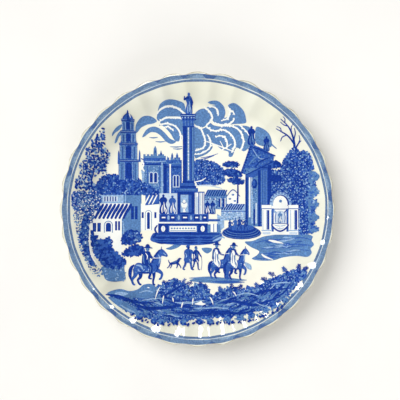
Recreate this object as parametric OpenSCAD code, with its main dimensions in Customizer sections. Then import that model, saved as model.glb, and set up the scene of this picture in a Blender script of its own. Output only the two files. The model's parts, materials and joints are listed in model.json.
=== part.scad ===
// Souvenir plate in fluted, scalloped earthenware, with a scene printed in blue under the glaze.
// It lies on its foot ring: +Z points up out of the face and +Y to the top of the scene.
// The origin is the centre of the foot ring's resting face. Sizes are in millimetres.

/* [Plate] */
// Radius out to the tips of the scallops
rim_r = 132.5; // [129:0.5:136]
// Radius of the flat well
well_r = 84; // [80:0.5:88]
// How far the rim stands above the well
wall_rise = 18; // [12:1:24]
// Share of the rise that goes into a steadily opening lip instead of the S-curve
lip_share = 0.2; // [0:0.05:0.5]
// Clay thickness at the well
well_t = 5; // [4:0.5:7]
// Clay thickness at the lip
lip_t = 3.4; // [2.5:0.1:4.5]

/* [Flutes] */
// Number of scallops, each the end of one flute
scallops = 32; // [24:4:40]
// How far the rim steps in between two scallops
scallop_depth = 2.5; // [0.5:0.1:3]
// How far a flute's floor lies below the ridges beside it, at the rim
flute_depth = 1.2; // [0:0.1:2]
// Softness of the ridges, from 0.1 for sharp to 1 for a plain wave
ridge_softness = 0.3; // [0.1:0.05:1]

/* [Foot] */
// Height of the foot ring
foot_h = 6; // [5.5:0.5:9]
// Middle radius of the foot ring
foot_r = 73.75; // [66:0.25:78]
// Width of the foot ring's resting face
foot_w = 4.5; // [3.5:0.5:7]
// Radius of the two hanging holes through the foot ring
hang_r = 1.2; // [1:0.1:1.5]
// Height of the hanging holes above the table
hang_z = 3; // [2.6:0.1:3.2]
// Angle between the top of the scene and each hanging hole
hang_angle = 20; // [10:5:40]

/* [Blue bands] */
// Bare lip between the scallops' tips and the wide band
bare_lip = 3.1; // [3:0.1:4]
// Width of the wide band
band_w = 3.4; // [2.5:0.1:4]
// Pale gap between the wide band and the thin line
pale_w = 2; // [1.5:0.1:2.5]
// Width of the thin line
line_w = 1.5; // [1:0.1:2]

/* [Print] */
// Thickness of the printed layer
ink_t = 0.15; // [0.1:0.05:0.3]
// Gap between the print and the clay, taken up by the glaze
ink_gap = 0.05; // [0.02:0.01:0.1]
// Extra gap at the rim, where a flat-celled sheet bridges the flutes
bridge_gap = 0.7; // [0.5:0.05:1]
// Largest cell of a printed sheet
sheet_cell = 4; // [4:0.5:6]

/* [Hidden] */

clay = "ivory";
bisque = "linen";
band_blue = "steelblue";
dark_blue = "mediumblue";
mid_blue = "royalblue";
light_blue = "cornflowerblue";

drawn_r = 132.5;                 // rim radius that the scene's outlines are drawn for
scene_scale = rim_r / drawn_r;
face_z = foot_h + well_t;        // height of the flat well's face
steps = 6;                       // columns of the mesh in one flute
columns = steps * scallops;
column_angle = 360 / columns;
top_rings = 10;                  // rings of the mesh across the wall, on the face
back_rings = 8;                  // and on the back
nose_angles = [60, 0, -60];      // points round the rounded lip
foot_flare = 3;                  // how much the foot widens on each side where it joins the body
foot_chamfer = 0.6;

// ---- Shape of the face ----

// 1 on the floor of a flute, 0 on a ridge, with the ridge rounded by ridge_softness
function fold(angle) =
    let (
        wave = cos(angle * scallops / 2),
        full = sqrt(1 + pow(ridge_softness, 2)) - ridge_softness
    )
    (sqrt(pow(wave, 2) + pow(ridge_softness, 2)) - ridge_softness) / full;

mean_fold = 0.55;                // about the average of fold() round the rim
function smooth(t) = t <= 0 ? 0 : t >= 1 ? 1 : t * t * (3 - 2 * t);

// How strongly the flutes show at a radius: not at all in the well, fully at the rim
function flute_growth(r) = smooth((r - well_r) / (rim_r - well_r));

// Rise of the unfluted wall at a radius, as an S-curve with a steadily opening lip
function wall(r) =
    let (t = max(0, (r - well_r) / (rim_r - well_r)))
    wall_rise * ((1 - lip_share) * (t - sin(360 * t) / (2 * PI)) + lip_share * t * t);

// Height of the face at a radius and angle
function face(r, angle) =
    let (
        growth = flute_growth(r),
        swing = fold(angle) - mean_fold,
        shift = scallop_depth * growth * swing
    )
    face_z + wall(r - shift) - flute_depth * growth * swing;

// Clay thickness, measured straight down
function clay_t(r) = well_t + (lip_t - well_t) * smooth((r - well_r) / (rim_r - well_r));

// Radius of the rim at an angle
function rim(angle) = rim_r - scallop_depth * (1 - fold(angle));

// ---- Body ----

// One radial slice of the body, from the well's edge on the face, round the lip, back underneath
function slice(angle) =
    let (
        nose_r = lip_t / 2,
        edge_r = rim(angle) - nose_r,
        nose_z = face(edge_r, angle) - nose_r
    )
    concat(
        [for (i = [0:top_rings])
            let (r = well_r + (edge_r - well_r) * i / top_rings)
            [r, face(r, angle)]],
        [for (a = nose_angles) [edge_r + nose_r * cos(a), nose_z + nose_r * sin(a)]],
        [for (i = [back_rings:-1:0])
            let (r = well_r + (edge_r - well_r) * i / back_rings)
            [r, i == back_rings ? nose_z - nose_r : face(r, angle) - clay_t(r)]]
    );

module plate_body() {
    slices = [for (i = [0:columns - 1]) slice(i * column_angle)];
    rings = len(slices[0]);
    hub_top = columns * rings;
    hub_back = hub_top + 1;
    points = concat(
        [for (i = [0:columns - 1], p = slices[i])
            [p[0] * cos(i * column_angle), p[0] * sin(i * column_angle), p[1]]],
        [[0, 0, face_z], [0, 0, foot_h]]
    );
    function at(column, ring) = (column % columns) * rings + ring;
    faces = concat(
        [for (i = [0:columns - 1], j = [0:rings - 2])
            each [
                [at(i, j), at(i, j + 1), at(i + 1, j + 1)],
                [at(i, j), at(i + 1, j + 1), at(i + 1, j)]
            ]],
        [for (i = [0:columns - 1]) [hub_top, at(i, 0), at(i + 1, 0)]],
        [for (i = [0:columns - 1]) [hub_back, at(i + 1, rings - 1), at(i, rings - 1)]]
    );
    color(clay)
        polyhedron(points, [for (f = faces) [f[2], f[1], f[0]]]);
}

// ---- Foot ring, with two holes for a hanging wire ----

// One side of the foot's profile, from the table up, with a hollow curve where it flares
function foot_side(side) = concat(
    [[foot_r + side * (foot_w / 2 - foot_chamfer), 0]],
    [[foot_r + side * foot_w / 2, foot_chamfer]],
    [for (a = [0:15:90])
        let (flare_z = foot_h - hang_z - hang_r - 0.2)
        [foot_r + side * (foot_w / 2 + foot_flare * (1 - cos(a))), foot_h - flare_z * (1 - sin(a))]]
);

module foot_ring() {
    outer = foot_side(1);
    inner = foot_side(-1);
    color(bisque)
        difference() {
            rotate_extrude($fn = 128)
                polygon(concat(outer, [for (i = [len(inner) - 1:-1:0]) inner[i]]));
            for (side = [-1, 1])
                rotate([0, 0, 90 + side * hang_angle])
                    translate([foot_r - foot_w - foot_flare, 0, hang_z])
                        rotate([0, 90, 0])
                            cylinder(r = hang_r, h = 2 * (foot_w + foot_flare), $fn = 48);
        }
}

// ---- Printed layers ----

// Height of a sheet's underside at a point of the scene
function sheet_z(x, y) =
    let (r = norm([x, y]))
    face(r, atan2(y, x)) + ink_gap + bridge_gap * flute_growth(r);

// A printed ring of a width, inside a radius
module ring_print(out_r, width) {
    in_r = out_r - width;
    edges = [[in_r, 0], [out_r, 0], [out_r, ink_t], [in_r, ink_t]];
    points = [for (i = [0:columns - 1], e = edges)
        let (angle = i * column_angle)
        [e[0] * cos(angle), e[0] * sin(angle), face(e[0], angle) + ink_gap + e[1]]];
    function at(column, edge) = (column % columns) * 4 + edge % 4;
    polyhedron(points, [for (i = [0:columns - 1], j = [0:3])
        each [
            [at(i, j), at(i, j + 1), at(i + 1, j + 1)],
            [at(i, j), at(i + 1, j + 1), at(i + 1, j)]
        ]]);
}

// A printed sheet laid over the face. Its two long edges are lists of [along, across] points:
// along is x and across is y, or the other way round when the sheet is upright.
module sheet_print(edge_a, edge_b, upright = false) {
    start = edge_a[0][0];
    end = edge_a[len(edge_a) - 1][0];
    widest = max([for (p = concat(edge_a, edge_b))
        abs(lookup(p[0], edge_b) - lookup(p[0], edge_a))]);
    cols = max(1, ceil((end - start) / sheet_cell));
    rows = max(1, ceil(widest / sheet_cell));
    flat = [for (i = [0:cols], j = [0:rows])
        let (
            along = start + (end - start) * i / cols,
            across_a = lookup(along, edge_a),
            across = across_a + (lookup(along, edge_b) - across_a) * j / rows
        )
        scene_scale * (upright ? [across, along] : [along, across])];
    count = len(flat);
    points = concat(
        [for (p = flat) [p[0], p[1], sheet_z(p[0], p[1])]],
        [for (p = flat) [p[0], p[1], sheet_z(p[0], p[1]) + ink_t]]
    );
    function at(i, j) = i * (rows + 1) + j;
    border = concat(
        [for (i = [0:cols - 1]) at(i, 0)],
        [for (j = [0:rows - 1]) at(cols, j)],
        [for (i = [cols:-1:1]) at(i, rows)],
        [for (j = [rows:-1:1]) at(0, j)]
    );
    faces = concat(
        [for (i = [0:cols - 1], j = [0:rows - 1])
            each [
                [at(i, j), at(i + 1, j), at(i + 1, j + 1)],
                [at(i, j), at(i + 1, j + 1), at(i, j + 1)],
                [count + at(i, j), count + at(i + 1, j + 1), count + at(i + 1, j)],
                [count + at(i, j), count + at(i, j + 1), count + at(i + 1, j + 1)]
            ]],
        [for (k = [0:len(border) - 1])
            let (a = border[k], b = border[(k + 1) % len(border)])
            each [[a, count + a, count + b], [a, count + b, b]]]
    );
    polyhedron(points, upright ? [for (f = faces) [f[2], f[1], f[0]]] : faces);
}

// A printed shape that lies wholly in the flat well
module well_print(outline) {
    translate([0, 0, face_z + ink_gap])
        linear_extrude(ink_t)
            polygon(scene_scale * outline);
}

module rim_band_print() {
    color(band_blue) ring_print(rim_r - bare_lip, band_w);
}

module rim_line_print() {
    color(band_blue) ring_print(rim_r - bare_lip - band_w - pale_w, line_w);
}

// ---- Sky ----

module cloud_print() {
    color(light_blue) {
        // small curl behind the church tower
        sheet_print([[-80, 64], [-77, 69]], [[-80, 68], [-77, 75]]);
        // low fan left of the column
        sheet_print(
            [[-54, 71], [-45, 74], [-35, 64], [-19, 62]],
            [[-54, 76], [-45, 87], [-35, 84], [-19, 82]]
        );
        // high curl left of the column
        sheet_print(
            [[-37, 89], [-28, 92], [-19, 88]],
            [[-37, 95], [-28, 105], [-19, 100]]
        );
        // big swirl right of the column
        sheet_print(
            [[0, 66], [10, 54], [30, 49], [44, 54]],
            [[0, 92], [10, 99], [30, 101], [44, 84]]
        );
        // last fan beyond the portico
        sheet_print([[67, 64], [75, 57]], [[67, 74], [75, 62]]);
    }
}

// ---- Church, column and plinth ----

module church_print() {
    color(dark_blue) {
        sheet_print(
            [[33, -75], [50, -75], [66, -72], [80, -71], [92, -67.5]],
            [[33, -57], [50, -56], [66, -59], [80, -62], [92, -66.5]],
            upright = true
        );
    }
    color(mid_blue)
        well_print([
            [-54, 34], [-54, 50], [-48, 50], [-44, 58], [-40, 51], [-27, 52], [-24, 55], [-21, 51], [-17, 51],
            [-17, 24], [-21, 22], [-21, 15], [-34, 15], [-34, 25], [-54, 25]
        ]);
}

module column_print() {
    color(dark_blue)
        sheet_print(
            [[23, -15.5], [27, -14], [82, -14], [85, -17], [91, -17], [92, -12], [109, -10]],
            [[23, -2.5], [27, -4], [82, -4], [85, 0], [91, 0], [92, -4], [109, -6]],
            upright = true
        );
}

module plinth_print() {
    color(dark_blue)
        well_print([
            [-19, 22], [6, 22], [6, -4], [12, -6], [15, -6], [15, -21], [20, -25], [20, -33], [-42, -33],
            [-42, -26], [-38, -22], [-39, -6], [-20, -5]
        ]);
}

// ---- Left side ----

module hedge_print() {
    color(dark_blue)
        sheet_print(
            [[-102, 14], [-80, 14], [-60, 14], [-40, 14]],
            [[-102, 17], [-88, 31], [-70, 32], [-60, 24], [-40, 16]]
        );
}

module villa_print() {
    color(light_blue)
        sheet_print(
            [[-103, -17], [-84, -17], [-60, -18], [-43, -20]],
            [[-103, 0], [-97, 13], [-60, 13], [-43, 13]]
        );
}

module left_tree_print() {
    color(mid_blue)
        sheet_print(
            [[16, -118], [30, -118], [50, -110], [62, -101], [74, -92]],
            [[16, -107], [30, -98], [45, -86], [60, -87], [74, -88]],
            upright = true
        );
}

module left_bush_print() {
    color(mid_blue) {
        sheet_print(
            [[-56, -102], [-30, -114], [12, -119]],
            [[-56, -98], [-30, -105], [12, -105]],
            upright = true
        );
        sheet_print([[-96, -52], [-84, -64], [-72, -63]], [[-96, -24], [-84, -20], [-72, -34]]);
    }
}

// ---- Middle and right side ----

module hill_tree_print() {
    color(dark_blue)
        well_print([
            [-1, 24], [-1, 46], [6, 47], [16, 45], [24, 39], [22, 31], [21, 22], [12, 26]
        ]);
}

module pine_print() {
    color(dark_blue)
        well_print([
            [26, 35], [31, 40], [40, 38], [40, 34], [46, 28], [43, 26], [41, 22], [40, 8], [37, 8], [37, 22],
            [30, 27], [24, 31]
        ]);
}

module cottage_print() {
    color(light_blue)
        well_print([
            [7, -4], [7, 17], [29, 18], [34, 18], [37, 7], [46, 4], [46, -11], [26, -13], [22, -18], [20, -6]
        ]);
}

module portico_print() {
    color(dark_blue)
        sheet_print(
            [[-15, 52], [-10, 48], [34, 48], [38, 44], [60, 50], [74, 51]],
            [[-15, 58], [5, 58], [15, 70], [34, 70], [38, 74], [60, 70], [74, 53]],
            upright = true
        );
}

module steps_print() {
    color(dark_blue)
        well_print([for (a = [180:15:360]) [43 + 18 * cos(a), -22 + 7 * sin(a)]]);
}

module right_tree_print() {
    color(mid_blue)
        sheet_print(
            [[-23, 98], [12, 98], [20, 76], [40, 76], [56, 92]],
            [[-23, 110], [12, 113], [20, 114], [40, 112], [56, 96]],
            upright = true
        );
}

module bare_branch_print() {
    color(dark_blue)
        sheet_print(
            [[58, 93], [64, 93], [74, 85], [86, 76]],
            [[58, 95], [64, 97], [74, 90], [86, 80]],
            upright = true
        );
}

module niche_print() {
    color(light_blue)
        sheet_print(
            [[-25, 62], [-1, 62], [5, 73], [15, 76]],
            [[-25, 96], [2, 96], [5, 87], [15, 80]],
            upright = true
        );
}

module shade_print() {
    color(light_blue)
        sheet_print(
            [[50, -45], [60, -49], [90, -46], [108, -44]],
            [[50, -40], [62, -29], [90, -27], [108, -27]]
        );
}

// ---- People, animals and foreground ----

module lone_rider_print() {
    color(mid_blue)
        sheet_print(
            [[-66, -68], [-58, -71], [-44, -71], [-34, -66], [-30, -58]],
            [[-66, -54], [-58, -50], [-52, -35], [-44, -35], [-30, -42]]
        );
}

module dog_print() {
    color(dark_blue)
        well_print([
            [-29, -57], [-28, -51], [-20, -51], [-18, -48], [-16, -49], [-18, -53], [-17, -57], [-20, -55],
            [-26, -55]
        ]);
}

module walkers_print() {
    color(mid_blue) {
        well_print([[-12, -58], [-13, -39], [-10, -34], [-6, -39], [-5.5, -58]]);
        well_print([[-3, -58], [-3, -40], [-1, -35], [2, -40], [5, -45], [4, -58]]);
    }
}

module rider_pair_print() {
    color(mid_blue)
        sheet_print(
            [[12, -67], [30, -69], [47, -67]],
            [[12, -48], [17, -35], [21, -37], [28, -46], [33, -35], [39, -35], [47, -39]]
        );
}

module foreground_print() {
    color(dark_blue)
        sheet_print(
            [[-84, -84], [-66, -101], [-48, -109], [-20, -112], [20, -111], [55, -103], [86, -84], [100, -64]],
            [[-84, -80], [-66, -77], [-40, -75], [-15, -68], [10, -78], [40, -77], [74, -66], [100, -56]]
        );
}

plate_body();
foot_ring();
rim_band_print();
rim_line_print();
cloud_print();
church_print();
column_print();
plinth_print();
hedge_print();
villa_print();
left_tree_print();
left_bush_print();
hill_tree_print();
pine_print();
cottage_print();
portico_print();
steps_print();
right_tree_print();
bare_branch_print();
niche_print();
shade_print();
lone_rider_print();
dog_print();
walkers_print();
rider_pair_print();
foreground_print();
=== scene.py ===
"""Souvenir plate: fluted, scalloped earthenware with a blue scene printed under a clear glaze.

The plate lies on its foot ring with its face up (+Z) and the top of the scene towards +Y.
Drawings are in millimetres on the plate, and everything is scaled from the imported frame."""
import json
import math

import bpy
import numpy as np
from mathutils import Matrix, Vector
from mathutils.geometry import delaunay_2d_cdt

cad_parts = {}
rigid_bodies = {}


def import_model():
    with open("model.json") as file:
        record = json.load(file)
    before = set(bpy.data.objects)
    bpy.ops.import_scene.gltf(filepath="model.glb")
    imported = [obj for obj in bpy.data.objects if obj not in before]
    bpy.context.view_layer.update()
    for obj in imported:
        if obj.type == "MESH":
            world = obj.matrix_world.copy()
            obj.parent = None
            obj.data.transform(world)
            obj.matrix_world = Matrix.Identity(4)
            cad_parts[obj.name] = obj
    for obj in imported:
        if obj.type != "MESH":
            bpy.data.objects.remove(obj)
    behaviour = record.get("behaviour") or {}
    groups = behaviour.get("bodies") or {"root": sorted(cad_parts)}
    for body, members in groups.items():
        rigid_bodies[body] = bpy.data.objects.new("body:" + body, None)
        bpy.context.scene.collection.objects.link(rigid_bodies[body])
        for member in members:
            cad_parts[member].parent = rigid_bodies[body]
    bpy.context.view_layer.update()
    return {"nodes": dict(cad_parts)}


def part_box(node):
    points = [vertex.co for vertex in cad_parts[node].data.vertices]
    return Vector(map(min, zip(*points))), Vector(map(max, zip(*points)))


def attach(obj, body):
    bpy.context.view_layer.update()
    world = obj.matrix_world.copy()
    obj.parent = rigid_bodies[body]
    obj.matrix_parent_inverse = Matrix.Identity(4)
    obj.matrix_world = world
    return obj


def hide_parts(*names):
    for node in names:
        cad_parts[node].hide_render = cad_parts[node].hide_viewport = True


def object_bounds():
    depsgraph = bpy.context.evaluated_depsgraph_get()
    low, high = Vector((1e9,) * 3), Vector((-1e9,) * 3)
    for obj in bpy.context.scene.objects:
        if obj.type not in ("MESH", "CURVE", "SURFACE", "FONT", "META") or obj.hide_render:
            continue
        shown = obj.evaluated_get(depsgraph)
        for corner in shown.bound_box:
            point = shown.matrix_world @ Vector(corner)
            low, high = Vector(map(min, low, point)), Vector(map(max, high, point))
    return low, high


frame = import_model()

# ---------------------------------------------------------------- sizes, in millimetres
MM = 0.001
BODY_LOW, BODY_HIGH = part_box("plate_body")
RIM_R = (BODY_HIGH.x - BODY_LOW.x) / 2 / MM          # out to the scallops' tips
DRAWN_RIM_R = 132.5                                  # the rim that the drawings are made for
DRAWN_WELL_R = 84
SCENE = RIM_R / DRAWN_RIM_R
WELL_R = DRAWN_WELL_R * SCENE
FOOT_H = BODY_LOW.z / MM
INK_GAP = 0.05
FACE_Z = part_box("plinth_print")[0].z / MM - INK_GAP
WALL_RISE = 18
LIP_SHARE = 0.2
WELL_T = FACE_Z - FOOT_H
LIP_T = 3.4
SCALLOPS = 32
SCALLOP_DEPTH = 2.5
FLUTE_DEPTH = 1.2
RIDGE_SOFTNESS = 0.3
MEAN_FOLD = 0.55
BAND_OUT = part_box("rim_band_print")[1].x / MM
BAND_IN = BAND_OUT - 4
LINE_SHIFT = 0.5                                     # the line is brushed on a little further out
LINE_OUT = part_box("rim_line_print")[1].x / MM + LINE_SHIFT
LINE_IN = LINE_OUT - 1.9
HAZE_OUT = BAND_IN - 0.3
STROKE_STEP = 0.0006                                 # height from one stroke of ink to the next
WALL_GAP = 0.07                                      # extra gap where the ink is folded over flutes
LEVEL_STEP = 0.03                                    # and from one level to the next there


# ---------------------------------------------------------------- the plate's surface
def fold(angle):
    """1 on the floor of a flute, 0 on the ridge beside it."""
    wave = np.cos(angle * SCALLOPS / 2)
    full = math.hypot(1, RIDGE_SOFTNESS) - RIDGE_SOFTNESS
    return (np.hypot(wave, RIDGE_SOFTNESS) - RIDGE_SOFTNESS) / full


def smooth(t):
    t = np.clip(t, 0, 1)
    return t * t * (3 - 2 * t)


def flute_growth(r):
    return smooth((r - WELL_R) / (RIM_R - WELL_R))


def wall(r):
    t = np.maximum(0, (r - WELL_R) / (RIM_R - WELL_R))
    ogee = t - np.sin(2 * np.pi * t) / (2 * np.pi)
    return WALL_RISE * ((1 - LIP_SHARE) * ogee + LIP_SHARE * t * t)


def face(r, angle):
    """Height of the plate's face at a radius and an angle."""
    growth = flute_growth(r)
    swing = fold(angle) - MEAN_FOLD
    return FACE_Z + wall(r - SCALLOP_DEPTH * growth * swing) - FLUTE_DEPTH * growth * swing


def face_at(x, y):
    return face(np.hypot(x, y), np.arctan2(y, x))


def face_normals(x, y, step=0.05):
    slope_x = (face_at(x + step, y) - face_at(x - step, y)) / (2 * step)
    slope_y = (face_at(x, y + step) - face_at(x, y - step)) / (2 * step)
    normals = np.stack([-slope_x, -slope_y, np.ones_like(x)], axis=1)
    return normals / np.linalg.norm(normals, axis=1, keepdims=True)


# ---------------------------------------------------------------- materials
def srgb(red, green, blue):
    """A colour given as 0-255 display values, as the linear colour that Blender wants."""
    def linear(value):
        value /= 255
        return value / 12.92 if value <= 0.04045 else ((value + 0.055) / 1.055) ** 2.4
    return (linear(red), linear(green), linear(blue), 1.0)


def new_material(name):
    material = bpy.data.materials.new(name)
    material.use_nodes = True
    nodes = material.node_tree.nodes
    return material, nodes, material.node_tree.links, nodes["Principled BSDF"]


def place_noise(nodes, links, scale, detail=3.0, roughness=0.55):
    """Noise fixed to the plate, with features about 1/scale metres across."""
    where = nodes.new("ShaderNodeTexCoord")
    noise = nodes.new("ShaderNodeTexNoise")
    noise.inputs["Scale"].default_value = scale
    noise.inputs["Detail"].default_value = detail
    noise.inputs["Roughness"].default_value = roughness
    links.new(where.outputs["Object"], noise.inputs["Vector"])
    return noise.outputs["Fac"]


def ramp(nodes, links, value, stops):
    """A colour ramp over [(place, colour)] stops."""
    node = nodes.new("ShaderNodeValToRGB")
    elements = node.color_ramp.elements
    while len(elements) < len(stops):
        elements.new(1.0)
    for element, (place, colour) in zip(elements, stops):
        element.position = place
        element.color = colour
    links.new(value, node.inputs["Fac"])
    return node.outputs["Color"]


def mix(nodes, links, factor, first, second, blend="MIX"):
    node = nodes.new("ShaderNodeMix")
    node.data_type = "RGBA"
    node.blend_type = blend
    for socket, value in ((node.inputs["Factor"], factor), (node.inputs["A"], first),
            (node.inputs["B"], second)):
        if isinstance(value, bpy.types.NodeSocket):
            links.new(value, socket)
        else:
            socket.default_value = value
    return node.outputs["Result"]


def bumps(nodes, links, height, strength, distance):
    """A normal from a height, over a distance in metres."""
    bump = nodes.new("ShaderNodeBump")
    bump.inputs["Strength"].default_value = strength
    bump.inputs["Distance"].default_value = distance
    links.new(height, bump.inputs["Height"])
    return bump.outputs["Normal"]


def climb(nodes, links, low, high, start=0.0, end=1.0):
    """From start at the height low to end at the height high, both in metres."""
    where = nodes.new("ShaderNodeTexCoord")
    split = nodes.new("ShaderNodeSeparateXYZ")
    links.new(where.outputs["Object"], split.inputs["Vector"])
    share = nodes.new("ShaderNodeMapRange")
    for name, value in (("From Min", low), ("From Max", high), ("To Min", start), ("To Max", end)):
        share.inputs[name].default_value = value
    links.new(split.outputs["Z"], share.inputs["Value"])
    return share.outputs["Result"]


def glaze(shader, nodes, links):
    """The clear glossy glaze over everything, with the long slow waves that it has when it melts."""
    shader.inputs["Roughness"].default_value = 0.4
    shader.inputs["Specular IOR Level"].default_value = 0.0
    shader.inputs["Coat Weight"].default_value = 1.0
    shader.inputs["Coat Roughness"].default_value = 0.035
    shader.inputs["Coat IOR"].default_value = 1.55
    waves = bumps(nodes, links, place_noise(nodes, links, 70, detail=2.0), 0.16, 0.0006)
    links.new(waves, shader.inputs["Coat Normal"])
    links.new(waves, shader.inputs["Normal"])


def tint(colour, factor):
    return tuple(min(1.0, channel * factor) for channel in colour[:3]) + (1.0,)


def ink_material(name, colour, spread=0.25):
    """Cobalt print: denser and thinner in patches, as the colour took from the printing tissue."""
    material, nodes, links, shader = new_material(name)
    fine = ramp(nodes, links, place_noise(nodes, links, 620, detail=4.0), [
        (0.32, tint(colour, 1 - spread)), (0.52, colour), (0.72, tint(colour, 1 + spread * 1.4))])
    drift = ramp(nodes, links, place_noise(nodes, links, 45, detail=2.0), [
        (0.3, (0.86, 0.88, 0.92, 1)), (0.7, (1.0, 1.0, 1.0, 1))])
    links.new(mix(nodes, links, 1.0, fine, drift, "MULTIPLY"), shader.inputs["Base Color"])
    glaze(shader, nodes, links)
    return material


def clay_material():
    """The cream body under the glaze, finely specked, with painted shade that greys it up the wall, and brown
    at the lip's outer edge.
    """
    material, nodes, links, shader = new_material("cream glaze")
    base = ramp(nodes, links, place_noise(nodes, links, 22, detail=3.0), [
        (0.3, srgb(241, 239, 222)), (0.7, srgb(247, 246, 234))])
    # painted shade: the cream is multiplied greyer from the well's level to 6 mm up the wall, all round the
    # plate
    painted_shade_up_wall = climb(nodes, links, FACE_Z * MM, (FACE_Z + 6) * MM)
    cream_with_painted_shade = mix(nodes, links, painted_shade_up_wall, base, (0.86, 0.875, 0.865, 1), "MULTIPLY")
    specks = ramp(nodes, links, place_noise(nodes, links, 1500, detail=2.0), [
        (0.16, (0.62, 0.55, 0.45, 1)), (0.22, (1, 1, 1, 1))])
    body = mix(nodes, links, 1.0, cream_with_painted_shade, specks, "MULTIPLY")
    # a brown tint at the lip's outer edge, strongest where the lip faces straight out, broken up by noise
    edge_tint = nodes.new("ShaderNodeAttribute")
    edge_tint.attribute_name = "lip"
    edge_tint_share = nodes.new("ShaderNodeMath")
    edge_tint_share.operation = "MULTIPLY"
    links.new(edge_tint.outputs["Fac"], edge_tint_share.inputs[0])
    links.new(ramp(nodes, links, place_noise(nodes, links, 160, detail=4.0), [
        (0.35, (0.25, 0.25, 0.25, 1)), (0.6, (1, 1, 1, 1))]), edge_tint_share.inputs[1])
    lip = mix(nodes, links, edge_tint_share.outputs["Value"], body, srgb(140, 124, 86))
    links.new(lip, shader.inputs["Base Color"])
    glaze(shader, nodes, links)
    return material


def bare_clay_material():
    """The foot: unglazed and slightly gritty where it rests, glazed on its sides."""
    material, nodes, links, shader = new_material("bare clay")
    glaze_edge = (0.9 * MM, 1.4 * MM)
    links.new(climb(nodes, links, *glaze_edge, 0.85, 0.12), shader.inputs["Roughness"])
    grit = ramp(nodes, links, place_noise(nodes, links, 900, detail=5.0), [
        (0.35, srgb(196, 178, 148)), (0.65, srgb(222, 208, 182))])
    glazed = mix(nodes, links, climb(nodes, links, *glaze_edge), grit, srgb(238, 236, 222))
    links.new(glazed, shader.inputs["Base Color"])
    grains = bumps(nodes, links, place_noise(nodes, links, 1400, detail=4.0), 0.3, 0.0002)
    links.new(grains, shader.inputs["Normal"])
    return material


CREAM = clay_material()
INKS = {
    "dark": ink_material("dark cobalt", srgb(28, 60, 149)),
    "blue": ink_material("cobalt", srgb(56, 95, 176)),
    "mid": ink_material("mid cobalt", srgb(93, 133, 185)),
    "cloud": ink_material("cloud blue", srgb(97, 136, 187)),
    "pale": ink_material("pale cobalt", srgb(150, 181, 218)),
    "faint": ink_material("faint cobalt", srgb(200, 215, 232), 0.1),
    "white": ink_material("reserved white", srgb(248, 249, 243), 0.02),
    "band": ink_material("grey-blue band", srgb(110, 137, 171)),
    "wash": ink_material("thin band", srgb(136, 162, 190)),
    "pool": ink_material("pooled band", srgb(78, 107, 157)),
    "line": ink_material("grey-blue line", srgb(100, 126, 163)),
    "haze": ink_material("pale haze", srgb(202, 220, 240), 0.1),
}
TONES = list(INKS)


# ---------------------------------------------------------------- meshes
FACES_PER_SCALLOP = 24


def around():
    """How many steps the round meshes take, and the angle of each."""
    columns = SCALLOPS * FACES_PER_SCALLOP
    return columns, np.arange(columns) * 2 * np.pi / columns


def make_object(name, points, faces, materials, material_index=None, normals=None):
    mesh = bpy.data.meshes.new(name)
    mesh.from_pydata(np.asarray(points, float) * MM, [], faces)
    for material in materials:
        mesh.materials.append(material)
    if material_index is not None:
        mesh.polygons.foreach_set("material_index", np.asarray(material_index, np.int32))
    mesh.polygons.foreach_set("use_smooth", np.ones(len(mesh.polygons), bool))
    if normals is not None:
        mesh.normals_split_custom_set_from_vertices(normals)
    mesh.update()
    piece = bpy.data.objects.new(name, mesh)
    bpy.context.scene.collection.objects.link(piece)
    return piece


def build_body():
    """The clay body as one closed surface: face, rounded lip and back, with flutes on both sides."""
    columns, angle = around()
    nose = LIP_T / 2
    # a hand-finished rim is never quite round: it dips by up to a few tenths, never outwards
    uneven = 0.15 * (2 + np.sin(angle * 3 + 0.7) + 0.6 * np.sin(angle * 7 + 2.1))
    edge = RIM_R - SCALLOP_DEPTH * (1 - fold(angle)) - nose - uneven * 0.5
    nose_z = face(edge, angle) - nose
    rings, lip = [], []

    def ring(r, z, edge_tint=0.0):
        r, z = np.broadcast_to(r, columns), np.broadcast_to(z, columns)
        rings.append(np.stack([r * np.cos(angle), r * np.sin(angle), z], axis=1))
        lip.append(np.full(columns, edge_tint))

    well = WELL_R * np.array([0.1, 0.3, 0.5, 0.7, 0.85, 0.95])
    for r in well:
        ring(r, FACE_Z)
    for t in np.linspace(0, 1, 64):
        r = WELL_R + (edge - WELL_R) * t
        ring(r, face(r, angle))
    # the nose's rings carry the brown edge tint, strongest where the lip faces straight out
    for turn in np.radians(np.linspace(75, -75, 9)):
        ring(edge + nose * np.cos(turn), nose_z + nose * np.sin(turn), math.cos(turn) ** 1.5)
    for t in np.linspace(1, 0, 36):
        r = WELL_R + (edge - WELL_R) * t
        thickness = WELL_T + (2 * nose - WELL_T) * smooth(t)
        ring(r, face(r, angle) - thickness)
    for r in well[::-1]:
        ring(r, FOOT_H)
    points = np.concatenate(rings + [[[0, 0, FACE_Z], [0, 0, FOOT_H]]])
    count = len(rings)
    index = np.arange(count * columns).reshape(count, columns)
    here, there = index, np.roll(index, -1, axis=1)
    faces = np.stack([here[:-1], here[1:], there[1:], there[:-1]], axis=-1).reshape(-1, 4).tolist()
    faces += [[len(points) - 2, a, b] for a, b in zip(here[0], there[0])]
    faces += [[len(points) - 1, b, a] for a, b in zip(here[-1], there[-1])]
    body = make_object("plate_clay", points, faces, [CREAM])
    edge_tint = body.data.attributes.new("lip", "FLOAT", "POINT")
    edge_tint.data.foreach_set("value", np.concatenate(lip + [[0.0, 0.0]]).astype(np.float32))
    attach(body, "root")
    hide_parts("plate_body")


# ---------------------------------------------------------------- drawing
LAYER = 0.05                                         # height between drawings that overlap
WALL_GRID = 0.7                                      # spacing of the extra corners over the flutes
DAB_HEIGHTS = 7                                      # neighbouring dabs never share a height


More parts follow.
